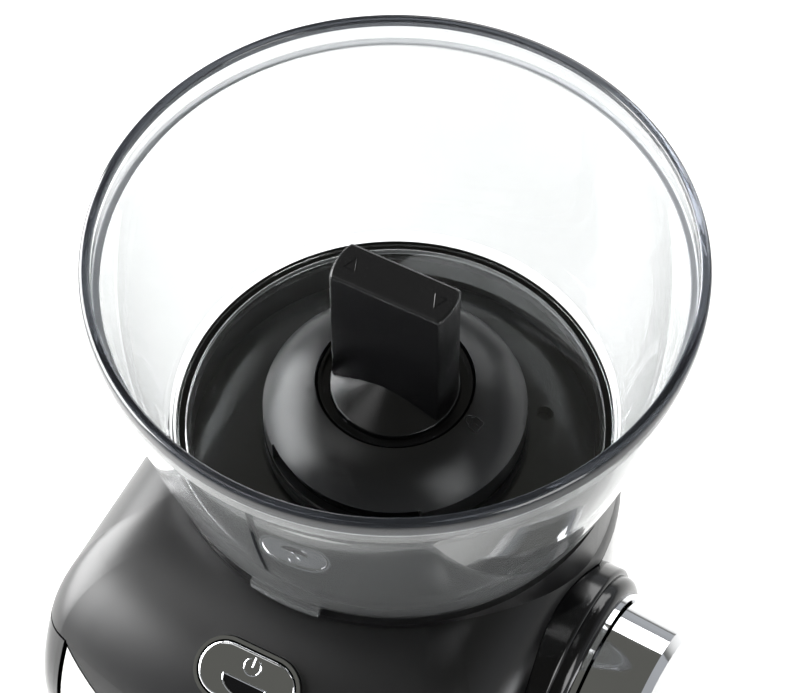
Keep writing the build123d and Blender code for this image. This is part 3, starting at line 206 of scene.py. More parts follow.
def add(tree, kind, settings=None, inputs=None):
    """A node of one kind with its settings, values and links."""
    node = tree.nodes.new(kind)
    for key, value in (settings or {}).items():
        setattr(node, key, value)
    for key, value in (inputs or {}).items():
        if isinstance(value, bpy.types.NodeSocket):
            tree.links.new(value, node.inputs[key])
        else:
            node.inputs[key].default_value = value
    return node


def finish(name, dark, light, rough, grain, depth, stretch=(1, 1, 1), cloud=30.0, **shader):
    """A material whose grain, of a size in millimetres, shades its colour, roughness and height.

    dark and light are the two tones, rough the two roughnesses, depth the grain's height in
    millimetres, stretch how much finer the grain is along each axis, and cloud the size in
    millimetres of the slow change from wiping and handling. Other words go to the shader.
    """
    material = bpy.data.materials.new(name)
    material.use_nodes = True
    tree = material.node_tree
    tree.nodes.clear()
    place = add(tree, "ShaderNodeTexCoord").outputs["Object"]
    spread = add(tree, "ShaderNodeMapping", None, {"Vector": place, "Scale": stretch}).outputs["Vector"]
    fine = add(tree, "ShaderNodeTexNoise", None, {
        "Vector": spread, "Scale": 1 / (grain * MM), "Detail": 3.0, "Roughness": 0.6}).outputs["Fac"]
    slow = add(tree, "ShaderNodeTexNoise", None, {
        "Vector": place, "Scale": 1 / (cloud * MM), "Detail": 2.0}).outputs["Fac"]
    both = add(tree, "ShaderNodeMath", {"operation": "MULTIPLY_ADD"}, {
        0: fine, 1: 0.6, 2: add(tree, "ShaderNodeMath", {"operation": "MULTIPLY"}, {
            0: slow, 1: 0.4}).outputs[0]}).outputs[0]
    tone = add(tree, "ShaderNodeMix", {"data_type": "RGBA"}, {
        0: both, 6: linear(dark), 7: linear(light)}).outputs[2]
    gloss = add(tree, "ShaderNodeMapRange", None, {
        "Value": both, "From Min": 0.3, "From Max": 0.7, "To Min": rough[0], "To Max": rough[1]}).outputs[0]
    values = {"Base Color": tone, "Roughness": gloss, **shader}
    if depth:
        values["Normal"] = add(tree, "ShaderNodeBump", None, {
            "Height": fine, "Strength": 0.6, "Distance": depth * MM}).outputs["Normal"]
    skin = add(tree, "ShaderNodeBsdfPrincipled", None, values)
    add(tree, "ShaderNodeOutputMaterial", None, {"Surface": skin.outputs[0]})
    return material


def make_finishes():
    """One material for each slot of the record, and a few for finer pieces."""
    made = {}
    # ABS from a spark-etched mould: black with a satin bloom and a fine pebble grain
    made["satin_black_abs"] = finish(
        "abs_satin_etched", "#0b0b0c", "#111112", (0.30, 0.38), 0.5, 0.010)
    # ABS from a polished mould: deep black with clear reflections and faint wipe marks
    made["gloss_black_abs"] = finish(
        "abs_gloss_polished", "#08080a", "#0c0c0e", (0.10, 0.18), 1.2, 0.001, cloud=45.0)
    # SAN from a polished mould: clear with crisp reflections and a faint milky haze
    made["clear_plastic"] = finish(
        "san_clear_moulded", "#d4d6d7", "#dcdedf", (0.0, 0.02), 6.0, 0.0,
        **{"Transmission Weight": 0.91, "IOR": 1.57})
    # The floor of the same moulding, too short a way through to show the haze
    made["clear_floor"] = finish(
        "san_clear_floor", "#edf0f1", "#f3f5f6", (0.0, 0.02), 6.0, 0.0,
        **{"Transmission Weight": 1.0, "IOR": 1.57})
    # The thick edge of the same moulding, tinted dark as painted refraction of the darker things round it
    made["clear_lip_painted_dark"] = finish(
        "san_clear_lip_painted_dark", "#191b20", "#25282e", (0.06, 0.12), 0.8, 0.001,
        **{"Transmission Weight": 0.6, "IOR": 1.57})
    # The same moulding at its ledge: frosted, so it spreads the light, and toned pale grey as a painted
    # highlight band
    made["clear_ledge_painted_highlight"] = finish(
        "san_clear_frosted_painted_highlight", "#a3a6ab", "#b4b7bb", (0.32, 0.46), 1.5, 0.002,
        **{"Transmission Weight": 0.6, "IOR": 1.2})
    # ABS from a stoned mould: black, between satin and gloss, with a fine even grain
    made["semi_gloss_abs"] = finish(
        "abs_semi_gloss_stoned", "#0a0a0b", "#101011", (0.20, 0.29), 0.4, 0.004)
    # SAN tinted grey: see-through but shady
    made["smoke_plastic"] = finish(
        "san_smoke_moulded", "#8f9297", "#9a9da2", (0.02, 0.06), 6.0, 0.0,
        **{"Transmission Weight": 1.0, "IOR": 1.57})
    # Chromium plated on ABS: mirror bright with the slight waviness of the moulding
    made["chrome_plating"] = finish(
        "chromium_plated", "#dcdde0", "#e6e7e9", (0.03, 0.07), 9.0, 0.004, Metallic=1.0)
    # Stainless sheet brushed across: long fine scratches that stretch the highlights
    made["brushed_steel"] = finish(
        "stainless_brushed", "#b4b4b2", "#d2d2d0", (0.24, 0.38), 14.0, 0.004,
        (1, 1, 60), Metallic=1.0)
    # Tool steel hardened and ground: grey with fine grinding marks
    made["burr_steel"] = finish(
        "tool_steel_ground", "#6e6e72", "#8a8a8e", (0.22, 0.36), 2.0, 0.004, (1, 6, 1), Metallic=1.0)
    # Mild steel zinc plated: pale with a cloudy spangle
    made["plain_steel"] = finish(
        "steel_zinc_plated", "#9fa1a4", "#bcbdbf", (0.26, 0.42), 1.5, 0.002, Metallic=1.0)
    # Moulded nylon: milky with a soft sheen
    made["nylon"] = finish("nylon_moulded", "#cfcabc", "#dcd8cc", (0.38, 0.5), 1.0, 0.004)
    # Glass-filled nylon: dark grey and dull with fibre specks
    made["grey_plastic"] = finish("nylon_glass_filled", "#2c2d2f", "#3c3d40", (0.45, 0.6), 0.8, 0.006)
    # Moulded rubber: black, dull and slightly dusty
    made["rubber"] = finish("rubber_moulded", "#121212", "#1d1d1d", (0.68, 0.85), 0.6, 0.012)
    # Sintered bronze: brown-gold and open grained
    made["bronze"] = finish("bronze_sintered", "#7d5a2b", "#a37a40", (0.35, 0.5), 0.5, 0.006, Metallic=1.0)
    # Glass-epoxy board under solder mask: green with a woven shade
    made["circuit_board"] = finish("board_solder_mask", "#0d3a1d", "#155028", (0.25, 0.4), 0.9, 0.004)
    # Acrylic lens dyed black: a dark mirror
    made["dark_lens"] = finish("acrylic_dyed", "#050506", "#09090b", (0.05, 0.1), 4.0, 0.0)
    # Aluminium die cast: pale grey, slightly rough from the die
    made["aluminium"] = finish(
        "aluminium_die_cast", "#8d8f92", "#a9abad", (0.35, 0.5), 0.8, 0.006, Metallic=1.0)
    return made


FINISH = {}


# Mesh helpers: profiles and outlines are in millimetres
def rounded(corners, steps=5):
    """Closed outline from (x, y, radius) corners, each rounded to its radius."""
    points = []
    count = len(corners)
    for k, (x, y, radius) in enumerate(corners):
        corner = Vector((x, y))
        back = Vector(corners[k - 1][:2]) - corner
        ahead = Vector(corners[(k + 1) % count][:2]) - corner
        if radius <= 0:
            points.append((x, y))
            continue
        half = back.angle(ahead) / 2
        reach = min(radius / tan(half), 0.48 * back.length, 0.48 * ahead.length)
        middle = corner + (back.normalized() + ahead.normalized()).normalized() * (reach / cos(half))
        first = corner + back.normalized() * reach - middle
        turn = first.angle_signed(corner + ahead.normalized() * reach - middle)
        for step in range(steps + 1):
            spot = middle + Matrix.Rotation(-turn * step / steps, 2) @ first
            points.append((spot.x, spot.y))
    return points


def three_point_arc(start, via, end, steps):
    """Points between start and end on the arc through three points, ends left out."""
    (ax, ay), (bx, by), (cx, cy) = start, via, end
    d = 2 * (ax * (by - cy) + bx * (cy - ay) + cx * (ay - by))
    ux = ((ax**2 + ay**2) * (by - cy) + (bx**2 + by**2) * (cy - ay) + (cx**2 + cy**2) * (ay - by)) / d
    uy = ((ax**2 + ay**2) * (cx - bx) + (bx**2 + by**2) * (ax - cx) + (cx**2 + cy**2) * (bx - ax)) / d
    radius = hypot(ax - ux, ay - uy)
    first = atan2(ay - uy, ax - ux)
    sweep = (atan2(cy - uy, cx - ux) - first + pi) % (2 * pi) - pi
    angles = [first + sweep * k / steps for k in range(1, steps)]
    return [(ux + radius * cos(a), uy + radius * sin(a)) for a in angles]


def spun(bm, profile, segments):
    """Surface of revolution about Z from a closed (radius, height) outline."""
    rings = []
    for k in range(segments):
        angle = 2 * pi * k / segments
        rings.append([bm.verts.new((r * MM * cos(angle), r * MM * sin(angle), z * MM)) for r, z in profile])
    count = len(profile)
    for k in range(segments):
        here, there = rings[k], rings[(k + 1) % segments]
        for i in range(count):
            j = (i + 1) % count
            bm.faces.new((here[i], here[j], there[j], there[i]))


def skinned(bm, loops):
    """Skin over closed loops of equal length, with both ends capped."""
    rings = [[bm.verts.new(Vector(p) * MM) for p in loop] for loop in loops]
    count = len(loops[0])
    for low, high in zip(rings, rings[1:]):
        for i in range(count):
            j = (i + 1) % count
            bm.faces.new((low[i], low[j], high[j], high[i]))
    bm.faces.new(rings[0][::-1])
    bm.faces.new(rings[-1])


def piece(name, bm, body, slot, *materials, sharp=32.0):
    """Finished object from a bmesh: cleaned, shaded, in its material, riding on its body."""
    bmesh.ops.remove_doubles(bm, verts=bm.verts, dist=0.001 * MM)
    bmesh.ops.recalc_face_normals(bm, faces=bm.faces)
    mesh = bpy.data.meshes.new(name)
    bm.to_mesh(mesh)
    bm.free()
    mesh.shade_smooth()
    mesh.set_sharp_from_angle(angle=radians(sharp))
    for material in materials:
        mesh.materials.append(material)
    obj = bpy.data.objects.new(name, mesh)
    bpy.context.scene.collection.objects.link(obj)
    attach(obj, body)
    return obj


def raised_line(bm, path, radius, place, closed=False, sides=8):
    """Round bead along flat (u, v) points, laid on a surface by place(u, v) -> (point, normal)."""
    count = len(path)
    rings = []
    for k, (u, v) in enumerate(path):
        before = path[k - 1] if closed or k else path[k]
        after = path[(k + 1) % count] if closed or k < count - 1 else path[k]
        spot, normal = place(u, v)
        along = (place(*after)[0] - place(*before)[0]).normalized()
        across = along.cross(normal).normalized()
        rings.append([bm.verts.new((spot + (across * cos(2 * pi * s / sides)
                                            + normal * sin(2 * pi * s / sides)) * radius) * MM)
                      for s in range(sides)])
    pairs = list(zip(rings, rings[1:])) + ([(rings[-1], rings[0])] if closed else [])
    for low, high in pairs:
        for s in range(sides):
            t = (s + 1) % sides
            bm.faces.new((low[s], low[t], high[t], high[s]))
    if not closed:
        bm.faces.new(rings[0][::-1])
        bm.faces.new(rings[-1])


class GrinderSizes(bpy.types.PropertyGroup):
    wall: bpy.props.FloatProperty(
        name="Hopper wall", description="Thickness of the hopper's wall", default=2.2 * MM, unit="LENGTH")
    collar: bpy.props.FloatProperty(
        name="Collar depth", description="Height of the band inside the rim", default=7.0 * MM, unit="LENGTH")
    knob_thickness: bpy.props.FloatProperty(
        name="Knob thickness", description="Thickness of the knob's bar", default=11.5 * MM, unit="LENGTH")
    knob_edge: bpy.props.FloatProperty(
        name="Knob edge", description="Rounding of the knob's edges", default=0.9 * MM, unit="LENGTH")
    line: bpy.props.FloatProperty(
        name="Mark line", description="Radius of the raised lines of marks", default=0.16 * MM, unit="LENGTH")
    screw_recess: bpy.props.FloatProperty(
        name="Screw recess", description="Width of the cross in the screw heads", default=0.9 * MM,
        unit="LENGTH")


class GrinderColours(bpy.types.PropertyGroup):
    floor: bpy.props.FloatVectorProperty(
        name="Floor", description="Colour of the studio floor", subtype="COLOR", size=4,
        default=linear("#e9e9e8"))
    horizon: bpy.props.FloatVectorProperty(
        name="Walls", description="Colour of the studio's pale walls", subtype="COLOR", size=4,
        default=linear("#dfe2e6"))
    zenith: bpy.props.FloatVectorProperty(
        name="Ceiling", description="Colour of the studio's dark ceiling", subtype="COLOR", size=4,
        default=linear("#7a7a74"))


class GRINDER_OT_finishes(bpy.types.Operator):
    """Give every solid of the frame the finish of its material slot"""
    bl_idname = "grinder.finishes"
    bl_label = "Finishes"

    def execute(self, context):
        FINISH.update(make_finishes())
        for row in frame["record"]["subparts"]:
            slots = frame["nodes"][row["node"]].data.materials
            slots.clear()
            slots.append(FINISH[row["material_slot"]])
        return {"FINISHED"}


class GRINDER_OT_hopper(bpy.types.Operator):
    """Turn the clear hopper with its rounded rim, collar, seat, tab and wall rib"""
    bl_idname = "grinder.hopper"
    bl_label = "Hopper"

    def execute(self, context):
        sizes = context.scene.grinder_sizes
        wall = sizes.wall / MM
        rim_base = RIM_TOP - LIP_BAND
        step = RIM_TOP - LIP_BAND - sizes.collar / MM
        ledge = RIM_TOP - sizes.collar / MM
        seat = HOPPER_LOW[2] + SEAT_RISE
        under = FLOOR_Z - wall
        outer_top = (RIM_R - WALL_TUCK, step)
        outer_low = (FOOT_R, FLOOR_Z)
        middle = ((outer_top[0] + outer_low[0]) / 2 + WALL_BOW, (outer_top[1] + outer_low[1]) / 2)
        inner_top = (outer_top[0] - wall, ledge)
        inner_low = (outer_low[0] - wall - 0.4, FLOOR_Z)
        lip_in, under_lip = RIM_R - LIP_WALL, RIM_R - LIP_STEP
        lip_foot = rim_base - LIP_SKIRT
        lip = [(lip_in, ledge, 0.5), (lip_in, RIM_TOP, 0.7), (RIM_R, RIM_TOP, 2.2), (RIM_R, lip_foot, 0.3),
               (under_lip, lip_foot - LIP_STEP, 0.3), (under_lip, step + 0.7, 0.5)]
        outside = [(*p, 0) for p in three_point_arc(outer_top, middle, outer_low, 14)]
        base = [(*outer_low, 1.2), (FOOT_R - FOOT_TUCK, under, 0.8), (SEAT_OUT_R, under, 0.3),
                (SEAT_OUT_R, seat, 0.3), (SEAT_IN_R, seat, 0.3), (SEAT_IN_R, under, 0.3),
                (THROAT_OUT_R, under, 0.6), (THROAT_OUT_R, HOPPER_LOW[2], 0.4),
                (THROAT_IN_R, HOPPER_LOW[2], 0.4), (THROAT_IN_R, FLOOR_Z, 0.8)]
        inside = [(*p, 0) for p in three_point_arc(inner_low, (middle[0] - wall, middle[1]), inner_top, 14)]
        corners = lip + [(*outer_top, 0.5)] + outside + base
        corners += [(*inner_low, 3.0)] + inside + [(*inner_top, 0.4)]
        bm = bmesh.new()
        spun(bm, rounded(corners), 224)
        edge_low = rim_base - EDGE_DROP
        for face in bm.faces:
            mid = face.calc_center_median() / MM
            reach = hypot(mid.x, mid.y)
            # Lip faces take a dark tint painted for the dark surroundings that thick clear plastic refracts
            if mid.z > edge_low and reach > RIM_R - EDGE_DEPTH:
                face.material_index = 1
            # Ledge faces take a pale tone painted as a soft highlight band
            elif abs(mid.z - ledge) < LEDGE_REACH and reach > inner_top[0]:
                face.material_index = 2
            elif mid.z < FLOOR_Z + FLOOR_REACH:
                face.material_index = 3
        self.front_tab(bm, seat + 0.4, under - 0.05)
        walls = len(bm.faces)
        self.wall_rib(bm, inner_low, middle, inner_top, wall)
        bm.faces.ensure_lookup_table()
        # The rib takes the lip's dark tint, the same painted refraction
        for face in bm.faces[walls:]:
            face.material_index = 1
        obj = piece("clear_hopper", bm, "hopper_unit", "clear_plastic",
                    *(FINISH[key] for key in ("clear_plastic", "clear_lip_painted_dark", "clear_ledge_painted_highlight", "clear_floor")))
        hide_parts("hopper")
        return {"FINISHED"}

    def front_tab(self, bm, low, high):
        """Index tab under the front of the floor, bent along its edge."""
        outer, inner = FOOT_R + TAB_PROUD, SEAT_IN_R + 1.0
        half = asin(TAB_HALF / outer)
        sweep = [half * (k / 6 - 1) for k in range(13)]
        corners = [(outer * sin(a), -outer * cos(a), TAB_CORNER if abs(a) == half else 0) for a in sweep]
        corners += [(inner * sin(a), -inner * cos(a), 0) for a in reversed(sweep)]
        outline = rounded(corners)
        skinned(bm, [[(x, y, z) for x, y in outline] for z in (low, high)])

    def wall_rib(self, bm, inner_low, middle, inner_top, wall):
        """Thin upright rib down the inside of the front wall, its root showing through to the outside."""
        arc = three_point_arc(inner_low, (middle[0] - wall, middle[1]), inner_top, 12)[3:]
        loops = []
        for r, z in arc:
            root, crest = -r - wall - RIB_SHOW, -r + RIB_HEIGHT
            loops.append([(-RIB_ROOT, root, z), (RIB_ROOT, root, z),
                          (RIB_CREST, crest, z), (-RIB_CREST, crest, z)])
        skinned(bm, loops)


class GRINDER_OT_knob(bpy.types.Operator):
    """Build the shutter knob: a tall bar on a coned disc, with arrow outlines on its top"""
    bl_idname = "grinder.knob"
    bl_label = "Shutter knob"

    def execute(self, context):
        sizes = context.scene.grinder_sizes
        half = sizes.knob_thickness / MM / 2
        edge = sizes.knob_edge / MM
        low = KNOB_LOW[2]
        disc = KNOB_LOW[2] + DISC_H
        top = KNOB_HIGH[2]
        bm = bmesh.new()
        groove = disc - GROOVE_DEEP
        peak = disc + CONE_R * tan(CONE_SLOPE)
        profile = [(0.02, low), (DISC_R, low), (DISC_R, disc - 0.4), (DISC_R - 0.3, disc),
                   (GROOVE_OUT_R + 0.2, disc), (GROOVE_OUT_R, groove), (GROOVE_IN_R, groove),
                   (CONE_R, disc - 0.2), (CONE_R - 0.3, disc + 0.1), (0.02, peak)]
        spun(bm, profile, 160)
        loops = []
        for z, inset in [(disc - 1.0, 0.0), (top - edge, 0.0)] + [
                (top - edge + edge * sin(a), edge * (1 - cos(a))) for a in EDGE_TURNS]:
            loops.append([(x, y, z) for x, y in self.bar_outline(BAR_R - inset, half - inset, edge)])
        skinned(bm, loops)
        bar = piece("shutter_knob", bm, "shutter_knob", "gloss_black_abs",
                    FINISH["semi_gloss_abs"], sharp=50.0)
        even = bar.modifiers.new("even_faces", "WEIGHTED_NORMAL")
        even.keep_sharp = True
        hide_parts("hopper_knob")
        bm = bmesh.new()

        def on_top(u, v):
            return Vector((u, v, top)), Vector((0, 0, 1))
        for side in (-1, 1):
            x = side * ARROW_OUT
            arrow = [(x - ARROW_HALF, side * ARROW_HALF), (x + ARROW_HALF, side * ARROW_HALF),
                     (x, -side * ARROW_TIP)]
            raised_line(bm, arrow, sizes.line / MM, on_top, closed=True)
        piece("knob_arrows", bm, "shutter_knob", "gloss_black_abs", FINISH["gloss_black_abs"])
        return {"FINISHED"}

    def bar_outline(self, radius, half, edge):
        """Slab cut from a round bar, with its four upright edges rounded."""
        reach = sqrt(radius**2 - half**2)
        end = atan2(half, reach)
        arc = [(radius * cos(end * (1 - k / 4)), radius * sin(end * (1 - k / 4))) for k in range(1, 8)]
        right = [(x, y, 0) for x, y in arc]
        left = [(-x, -y, 0) for x, y in arc]
        return rounded([(reach, half, edge)] + right + [(reach, -half, edge), (-reach, -half, edge)] + left
                       + [(-reach, half, edge)])


class GRINDER_OT_dome_mark(bpy.types.Operator):
    """Lay a raised padlock outline on the dome's shoulder"""
    bl_idname = "grinder.dome_mark"
    bl_label = "Padlock mark"

    def execute(self, context):
        crest = (DOME_CREST_R, DOME_HIGH[2])
        bend = (DOME_HIGH[0] - DOME_BEND_IN, DOME_HIGH[2] - DOME_BEND_DROP)
        foot = (DOME_HIGH[0], FLOOR_Z + DOME_FOOT_RISE)
        arc = [crest] + three_point_arc(crest, bend, foot, 24)

        def on_dome(u, v):
            reach = min(max((u - arc[0][0]), 0.0), arc[-1][0] - arc[0][0]) + arc[0][0]
            k = max(i for i, p in enumerate(arc[:-1]) if p[0] <= reach + 1e-9)
            share = (reach - arc[k][0]) / (arc[k + 1][0] - arc[k][0])
            height = arc[k][1] + share * (arc[k + 1][1] - arc[k][1])
            slope = atan2(arc[k][1] - arc[k + 1][1], arc[k + 1][0] - arc[k][0])
            turn = v / reach - LOCK_TURN
            normal = Vector((sin(slope) * cos(turn), sin(slope) * sin(turn), cos(slope)))
            return Vector((reach * cos(turn), reach * sin(turn), height)), normal

        line = context.scene.grinder_sizes.line / MM
        bm = bmesh.new()
        body = rounded([(LOCK_NEAR, -LOCK_HALF, LOCK_CORNER), (LOCK_FAR, -LOCK_HALF, LOCK_CORNER),
                        (LOCK_FAR, LOCK_HALF, LOCK_CORNER), (LOCK_NEAR, LOCK_HALF, LOCK_CORNER)])
        raised_line(bm, body, line, on_dome, closed=True)
        round_end = [(BOW_START - BOW_REACH * sin(a), -BOW_HALF * cos(a)) for a in
                     [pi * k / 10 for k in range(11)]]
        raised_line(bm, [(LOCK_NEAR, -BOW_HALF)] + round_end + [(LOCK_NEAR, BOW_HALF)], line, on_dome)
        raised_line(bm, [(u, 0.0) for u in KEYHOLE], line, on_dome)
        piece("padlock_mark", bm, "hopper_unit", "satin_black_abs", FINISH["gloss_black_abs"])
        return {"FINISHED"}


class GRINDER_OT_button_mark(bpy.types.Operator):
    """Raise a power symbol and a lens rim on the chrome button"""
    bl_idname = "grinder.button_mark"
    bl_label = "Power mark"

    def execute(self, context):
        joints = frame["record"]["behaviour"]["joints"]
        out = -Vector(next(row["axis"] for row in joints if row["name"] == "button_press"))
        up = Vector((0, out.z, -out.y))
        flat = BUTTON_HALF - BUTTON_EDGE
        deep = BUTTON_PROUD - BUTTON_EDGE
        y = BUTTON_LOW[1] + flat * up.y - deep * out.y + BUTTON_EDGE
        z = BUTTON_HIGH[2] - flat * up.z - deep * out.z - BUTTON_EDGE
        middle = Vector((0, y, z)) + out * BUTTON_PROUD

        def on_button(u, v):
            return middle + Vector((u, 0, 0)) + up * v, out
        line = context.scene.grinder_sizes.line / MM
        bm = bmesh.new()
        sweep = 360 - 2 * POWER_OPENING
        ring = [(POWER_X + POWER_R * sin(a), POWER_Y + POWER_R * cos(a)) for a in
                [radians(POWER_OPENING + sweep * k / 30) for k in range(31)]]
        raised_line(bm, ring, line * 1.2, on_button)
        raised_line(bm, [(POWER_X, v) for v in POWER_STROKE], line * 1.2, on_button)
        half = BUTTON_HALF - LENS_IN
        moon = [(LENS_WIDE * half * cos(a), LENS_Y - LENS_TALL * half * sin(a)) for a in
                [pi * k / 24 for k in range(25)]]
        straight = [(half * (k / 3 - LENS_WIDE), LENS_Y) for k in range(1, 8)]
        raised_line(bm, moon + straight, line * 1.6, on_button, closed=True)
        piece("power_mark", bm, "button", "chrome_plating", FINISH["chrome_plating"])
        return {"FINISHED"}


def node_tree(name, floats):
    """Geometry node tree with points in, named lengths, a finish, and geometry out."""
    tree = bpy.data.node_groups.new(name, "GeometryNodeTree")
    tree.interface.new_socket("Points", in_out="INPUT", socket_type="NodeSocketGeometry")
    for label in floats:
        tree.interface.new_socket(label, in_out="INPUT", socket_type="NodeSocketFloat")
    tree.interface.new_socket("Finish", in_out="INPUT", socket_type="NodeSocketMaterial")
    tree.interface.new_socket("Geometry", in_out="OUTPUT", socket_type="NodeSocketGeometry")
    return tree, add(tree, "NodeGroupInput").outputs


def close_tree(tree, start, instances):
    """Realize the instances, give them their finish and end the tree."""
    solid = add(tree, "GeometryNodeRealizeInstances", None, {"Geometry": instances}).outputs[0]
    dressed = add(tree, "GeometryNodeSetMaterial", None, {"Geometry": solid, "Material": start["Finish"]})
    add(tree, "NodeGroupOutput", None, {"Geometry": dressed.outputs[0]})


def grown(name, tree, points, values, body):
    """Plain mesh that a tree makes on a set of points, riding on its body."""
    seed = bpy.data.meshes.new(name + "_points")
    seed.from_pydata([[v * MM for v in point] for point in points], [], [])
    holder = bpy.data.objects.new(name + "_points", seed)
    bpy.context.scene.collection.objects.link(holder)
    modifier = holder.modifiers.new("grow", "NODES")
    modifier.node_group = tree
    for item in tree.interface.items_tree:
        if item.in_out == "INPUT" and item.name in values:
            modifier[item.identifier] = values[item.name]
    evaluated = holder.evaluated_get(bpy.context.evaluated_depsgraph_get())
    mesh = bpy.data.meshes.new_from_object(evaluated)
    holder.modifiers.remove(modifier)
    bpy.data.objects.remove(holder)
    bpy.data.meshes.remove(seed)
    if not mesh.polygons:
        raise RuntimeError(name + " came out empty")
    mesh.name = name
    obj = bpy.data.objects.new(name, mesh)
    bpy.context.scene.collection.objects.link(obj)
    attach(obj, body)
    return obj


class GRINDER_OT_base_screws(bpy.types.Operator):
    """Set cross-recessed screws in the base plate"""
    bl_idname = "grinder.base_screws"
    bl_label = "Base screws"

    def execute(self, context):
        low, high = box_mm("base_screws")
        head_r, head_h, shank_r, back_in = 3.2, 1.0, 1.6, 7.0
        tree, start = node_tree("cross_screws", [
            "Head radius", "Head height", "Shank radius", "Shank length", "Recess width"])
        half = add(tree, "ShaderNodeMath", {"operation": "MULTIPLY"}, {
            0: start["Head height"], 1: 0.5}).outputs[0]
        head = add(tree, "GeometryNodeMeshCylinder", {"fill_type": "NGON"}, {
            "Vertices": 32, "Radius": start["Head radius"], "Depth": start["Head height"]}).outputs[0]
        long = add(tree, "ShaderNodeMath", {"operation": "MULTIPLY"}, {
            0: start["Head radius"], 1: 1.25}).outputs[0]
        cuts = []
        for sides in ((long, start["Recess width"]), (start["Recess width"], long)):
            span = add(tree, "ShaderNodeCombineXYZ", None, {
                "X": sides[0], "Y": sides[1], "Z": start["Head height"]}).outputs[0]
            cube = add(tree, "GeometryNodeMeshCube", None, {"Size": span}).outputs[0]
            drop = add(tree, "ShaderNodeCombineXYZ", None, {"Z": add(
                tree, "ShaderNodeMath", {"operation": "MULTIPLY"}, {0: half, 1: -1.0}).outputs[0]}).outputs[0]
            cuts.append(add(tree, "GeometryNodeTransform", None, {
                "Geometry": cube, "Translation": drop}).outputs[0])
        for cut in cuts:
            head = add(tree, "GeometryNodeMeshBoolean", {"operation": "DIFFERENCE"}, {
                "Mesh 1": head, "Mesh 2": cut}).outputs[0]
        lift = add(tree, "ShaderNodeMath", {"operation": "MULTIPLY_ADD"}, {
            0: start["Shank length"], 1: 0.5, 2: half}).outputs[0]
        shank = add(tree, "GeometryNodeTransform", None, {
            "Geometry": add(tree, "GeometryNodeMeshCylinder", {"fill_type": "NGON"}, {
                "Vertices": 20, "Radius": start["Shank radius"], "Depth": start["Shank length"]}).outputs[0],
            "Translation": add(tree, "ShaderNodeCombineXYZ", None, {"Z": lift}).outputs[0]}).outputs[0]
        join = add(tree, "GeometryNodeJoinGeometry", None, {"Geometry": head})
        tree.links.new(shank, join.inputs["Geometry"])
        spots = add(tree, "GeometryNodeMeshToPoints", None, {"Mesh": start["Points"]}).outputs[0]
        close_tree(tree, start, add(tree, "GeometryNodeInstanceOnPoints", None, {
            "Points": spots, "Instance": join.outputs[0]}).outputs[0])
        z = low[2] + head_h / 2
        points = [(side * x, y, z) for side in (-1, 1) for x, y in (
            (high[0] - head_r, low[1] + head_r), (high[0] - head_r - back_in, high[1] - head_r))]
        screws = grown("cross_screws", tree, points, {
            "Head radius": head_r * MM, "Head height": head_h * MM, "Shank radius": shank_r * MM,
            "Shank length": (high[2] - low[2] - head_h) * MM,
            "Recess width": context.scene.grinder_sizes.screw_recess,
            "Finish": FINISH["plain_steel"]}, "housing")
        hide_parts("base_screws")
        return {"FINISHED"}


class GRINDER_OT_vent_slats(bpy.types.Operator):
    """Fit slanted slats behind the vents in the round back"""
    bl_idname = "grinder.vent_slats"
    bl_label = "Vent slats"

    def execute(self, context):
        tree, start = node_tree("vent_slats", ["Width", "Depth", "Thickness", "Slant"])
        span = add(tree, "ShaderNodeCombineXYZ", None, {
            "X": start["Width"], "Y": start["Depth"], "Z": start["Thickness"]}).outputs[0]
        slat = add(tree, "GeometryNodeMeshCube", None, {"Size": span}).outputs[0]
        spot = add(tree, "ShaderNodeSeparateXYZ", None, {
            "Vector": add(tree, "GeometryNodeInputPosition").outputs[0]}).outputs
        turn = add(tree, "ShaderNodeMath", {"operation": "ARCTAN2"}, {0: spot["X"], 1: spot["Y"]}).outputs[0]
        back = add(tree, "ShaderNodeMath", {"operation": "MULTIPLY"}, {0: turn, 1: -1.0}).outputs[0]
        facing = add(tree, "ShaderNodeCombineXYZ", None, {"X": start["Slant"], "Z": back}).outputs[0]
        spots = add(tree, "GeometryNodeMeshToPoints", None, {"Mesh": start["Points"]}).outputs[0]
        close_tree(tree, start, add(tree, "GeometryNodeInstanceOnPoints", None, {
            "Points": spots, "Instance": slat, "Rotation": facing}).outputs[0])
        radius = BODY_HIGH[1] - SLAT_IN
        middle = (BASE_HIGH[2] + HEAD_LOW[2]) / 2 + VENT_RISE
        points = []
        for k in range(SLAT_COLUMNS):
            x = (k - (SLAT_COLUMNS - 1) / 2) * SLAT_PITCH_X
            for row in range(SLAT_ROWS):
                z = middle + (row - (SLAT_ROWS - 1) / 2) * SLAT_PITCH_Z
                points.append((x, sqrt(radius**2 - x**2), z))
        grown("vent_slats", tree, points, {
            "Width": SLAT_WIDTH * MM, "Depth": SLAT_DEPTH * MM, "Thickness": SLAT_THICKNESS * MM,
            "Slant": SLAT_SLANT, "Finish": FINISH["satin_black_abs"]}, "housing")
        return {"FINISHED"}


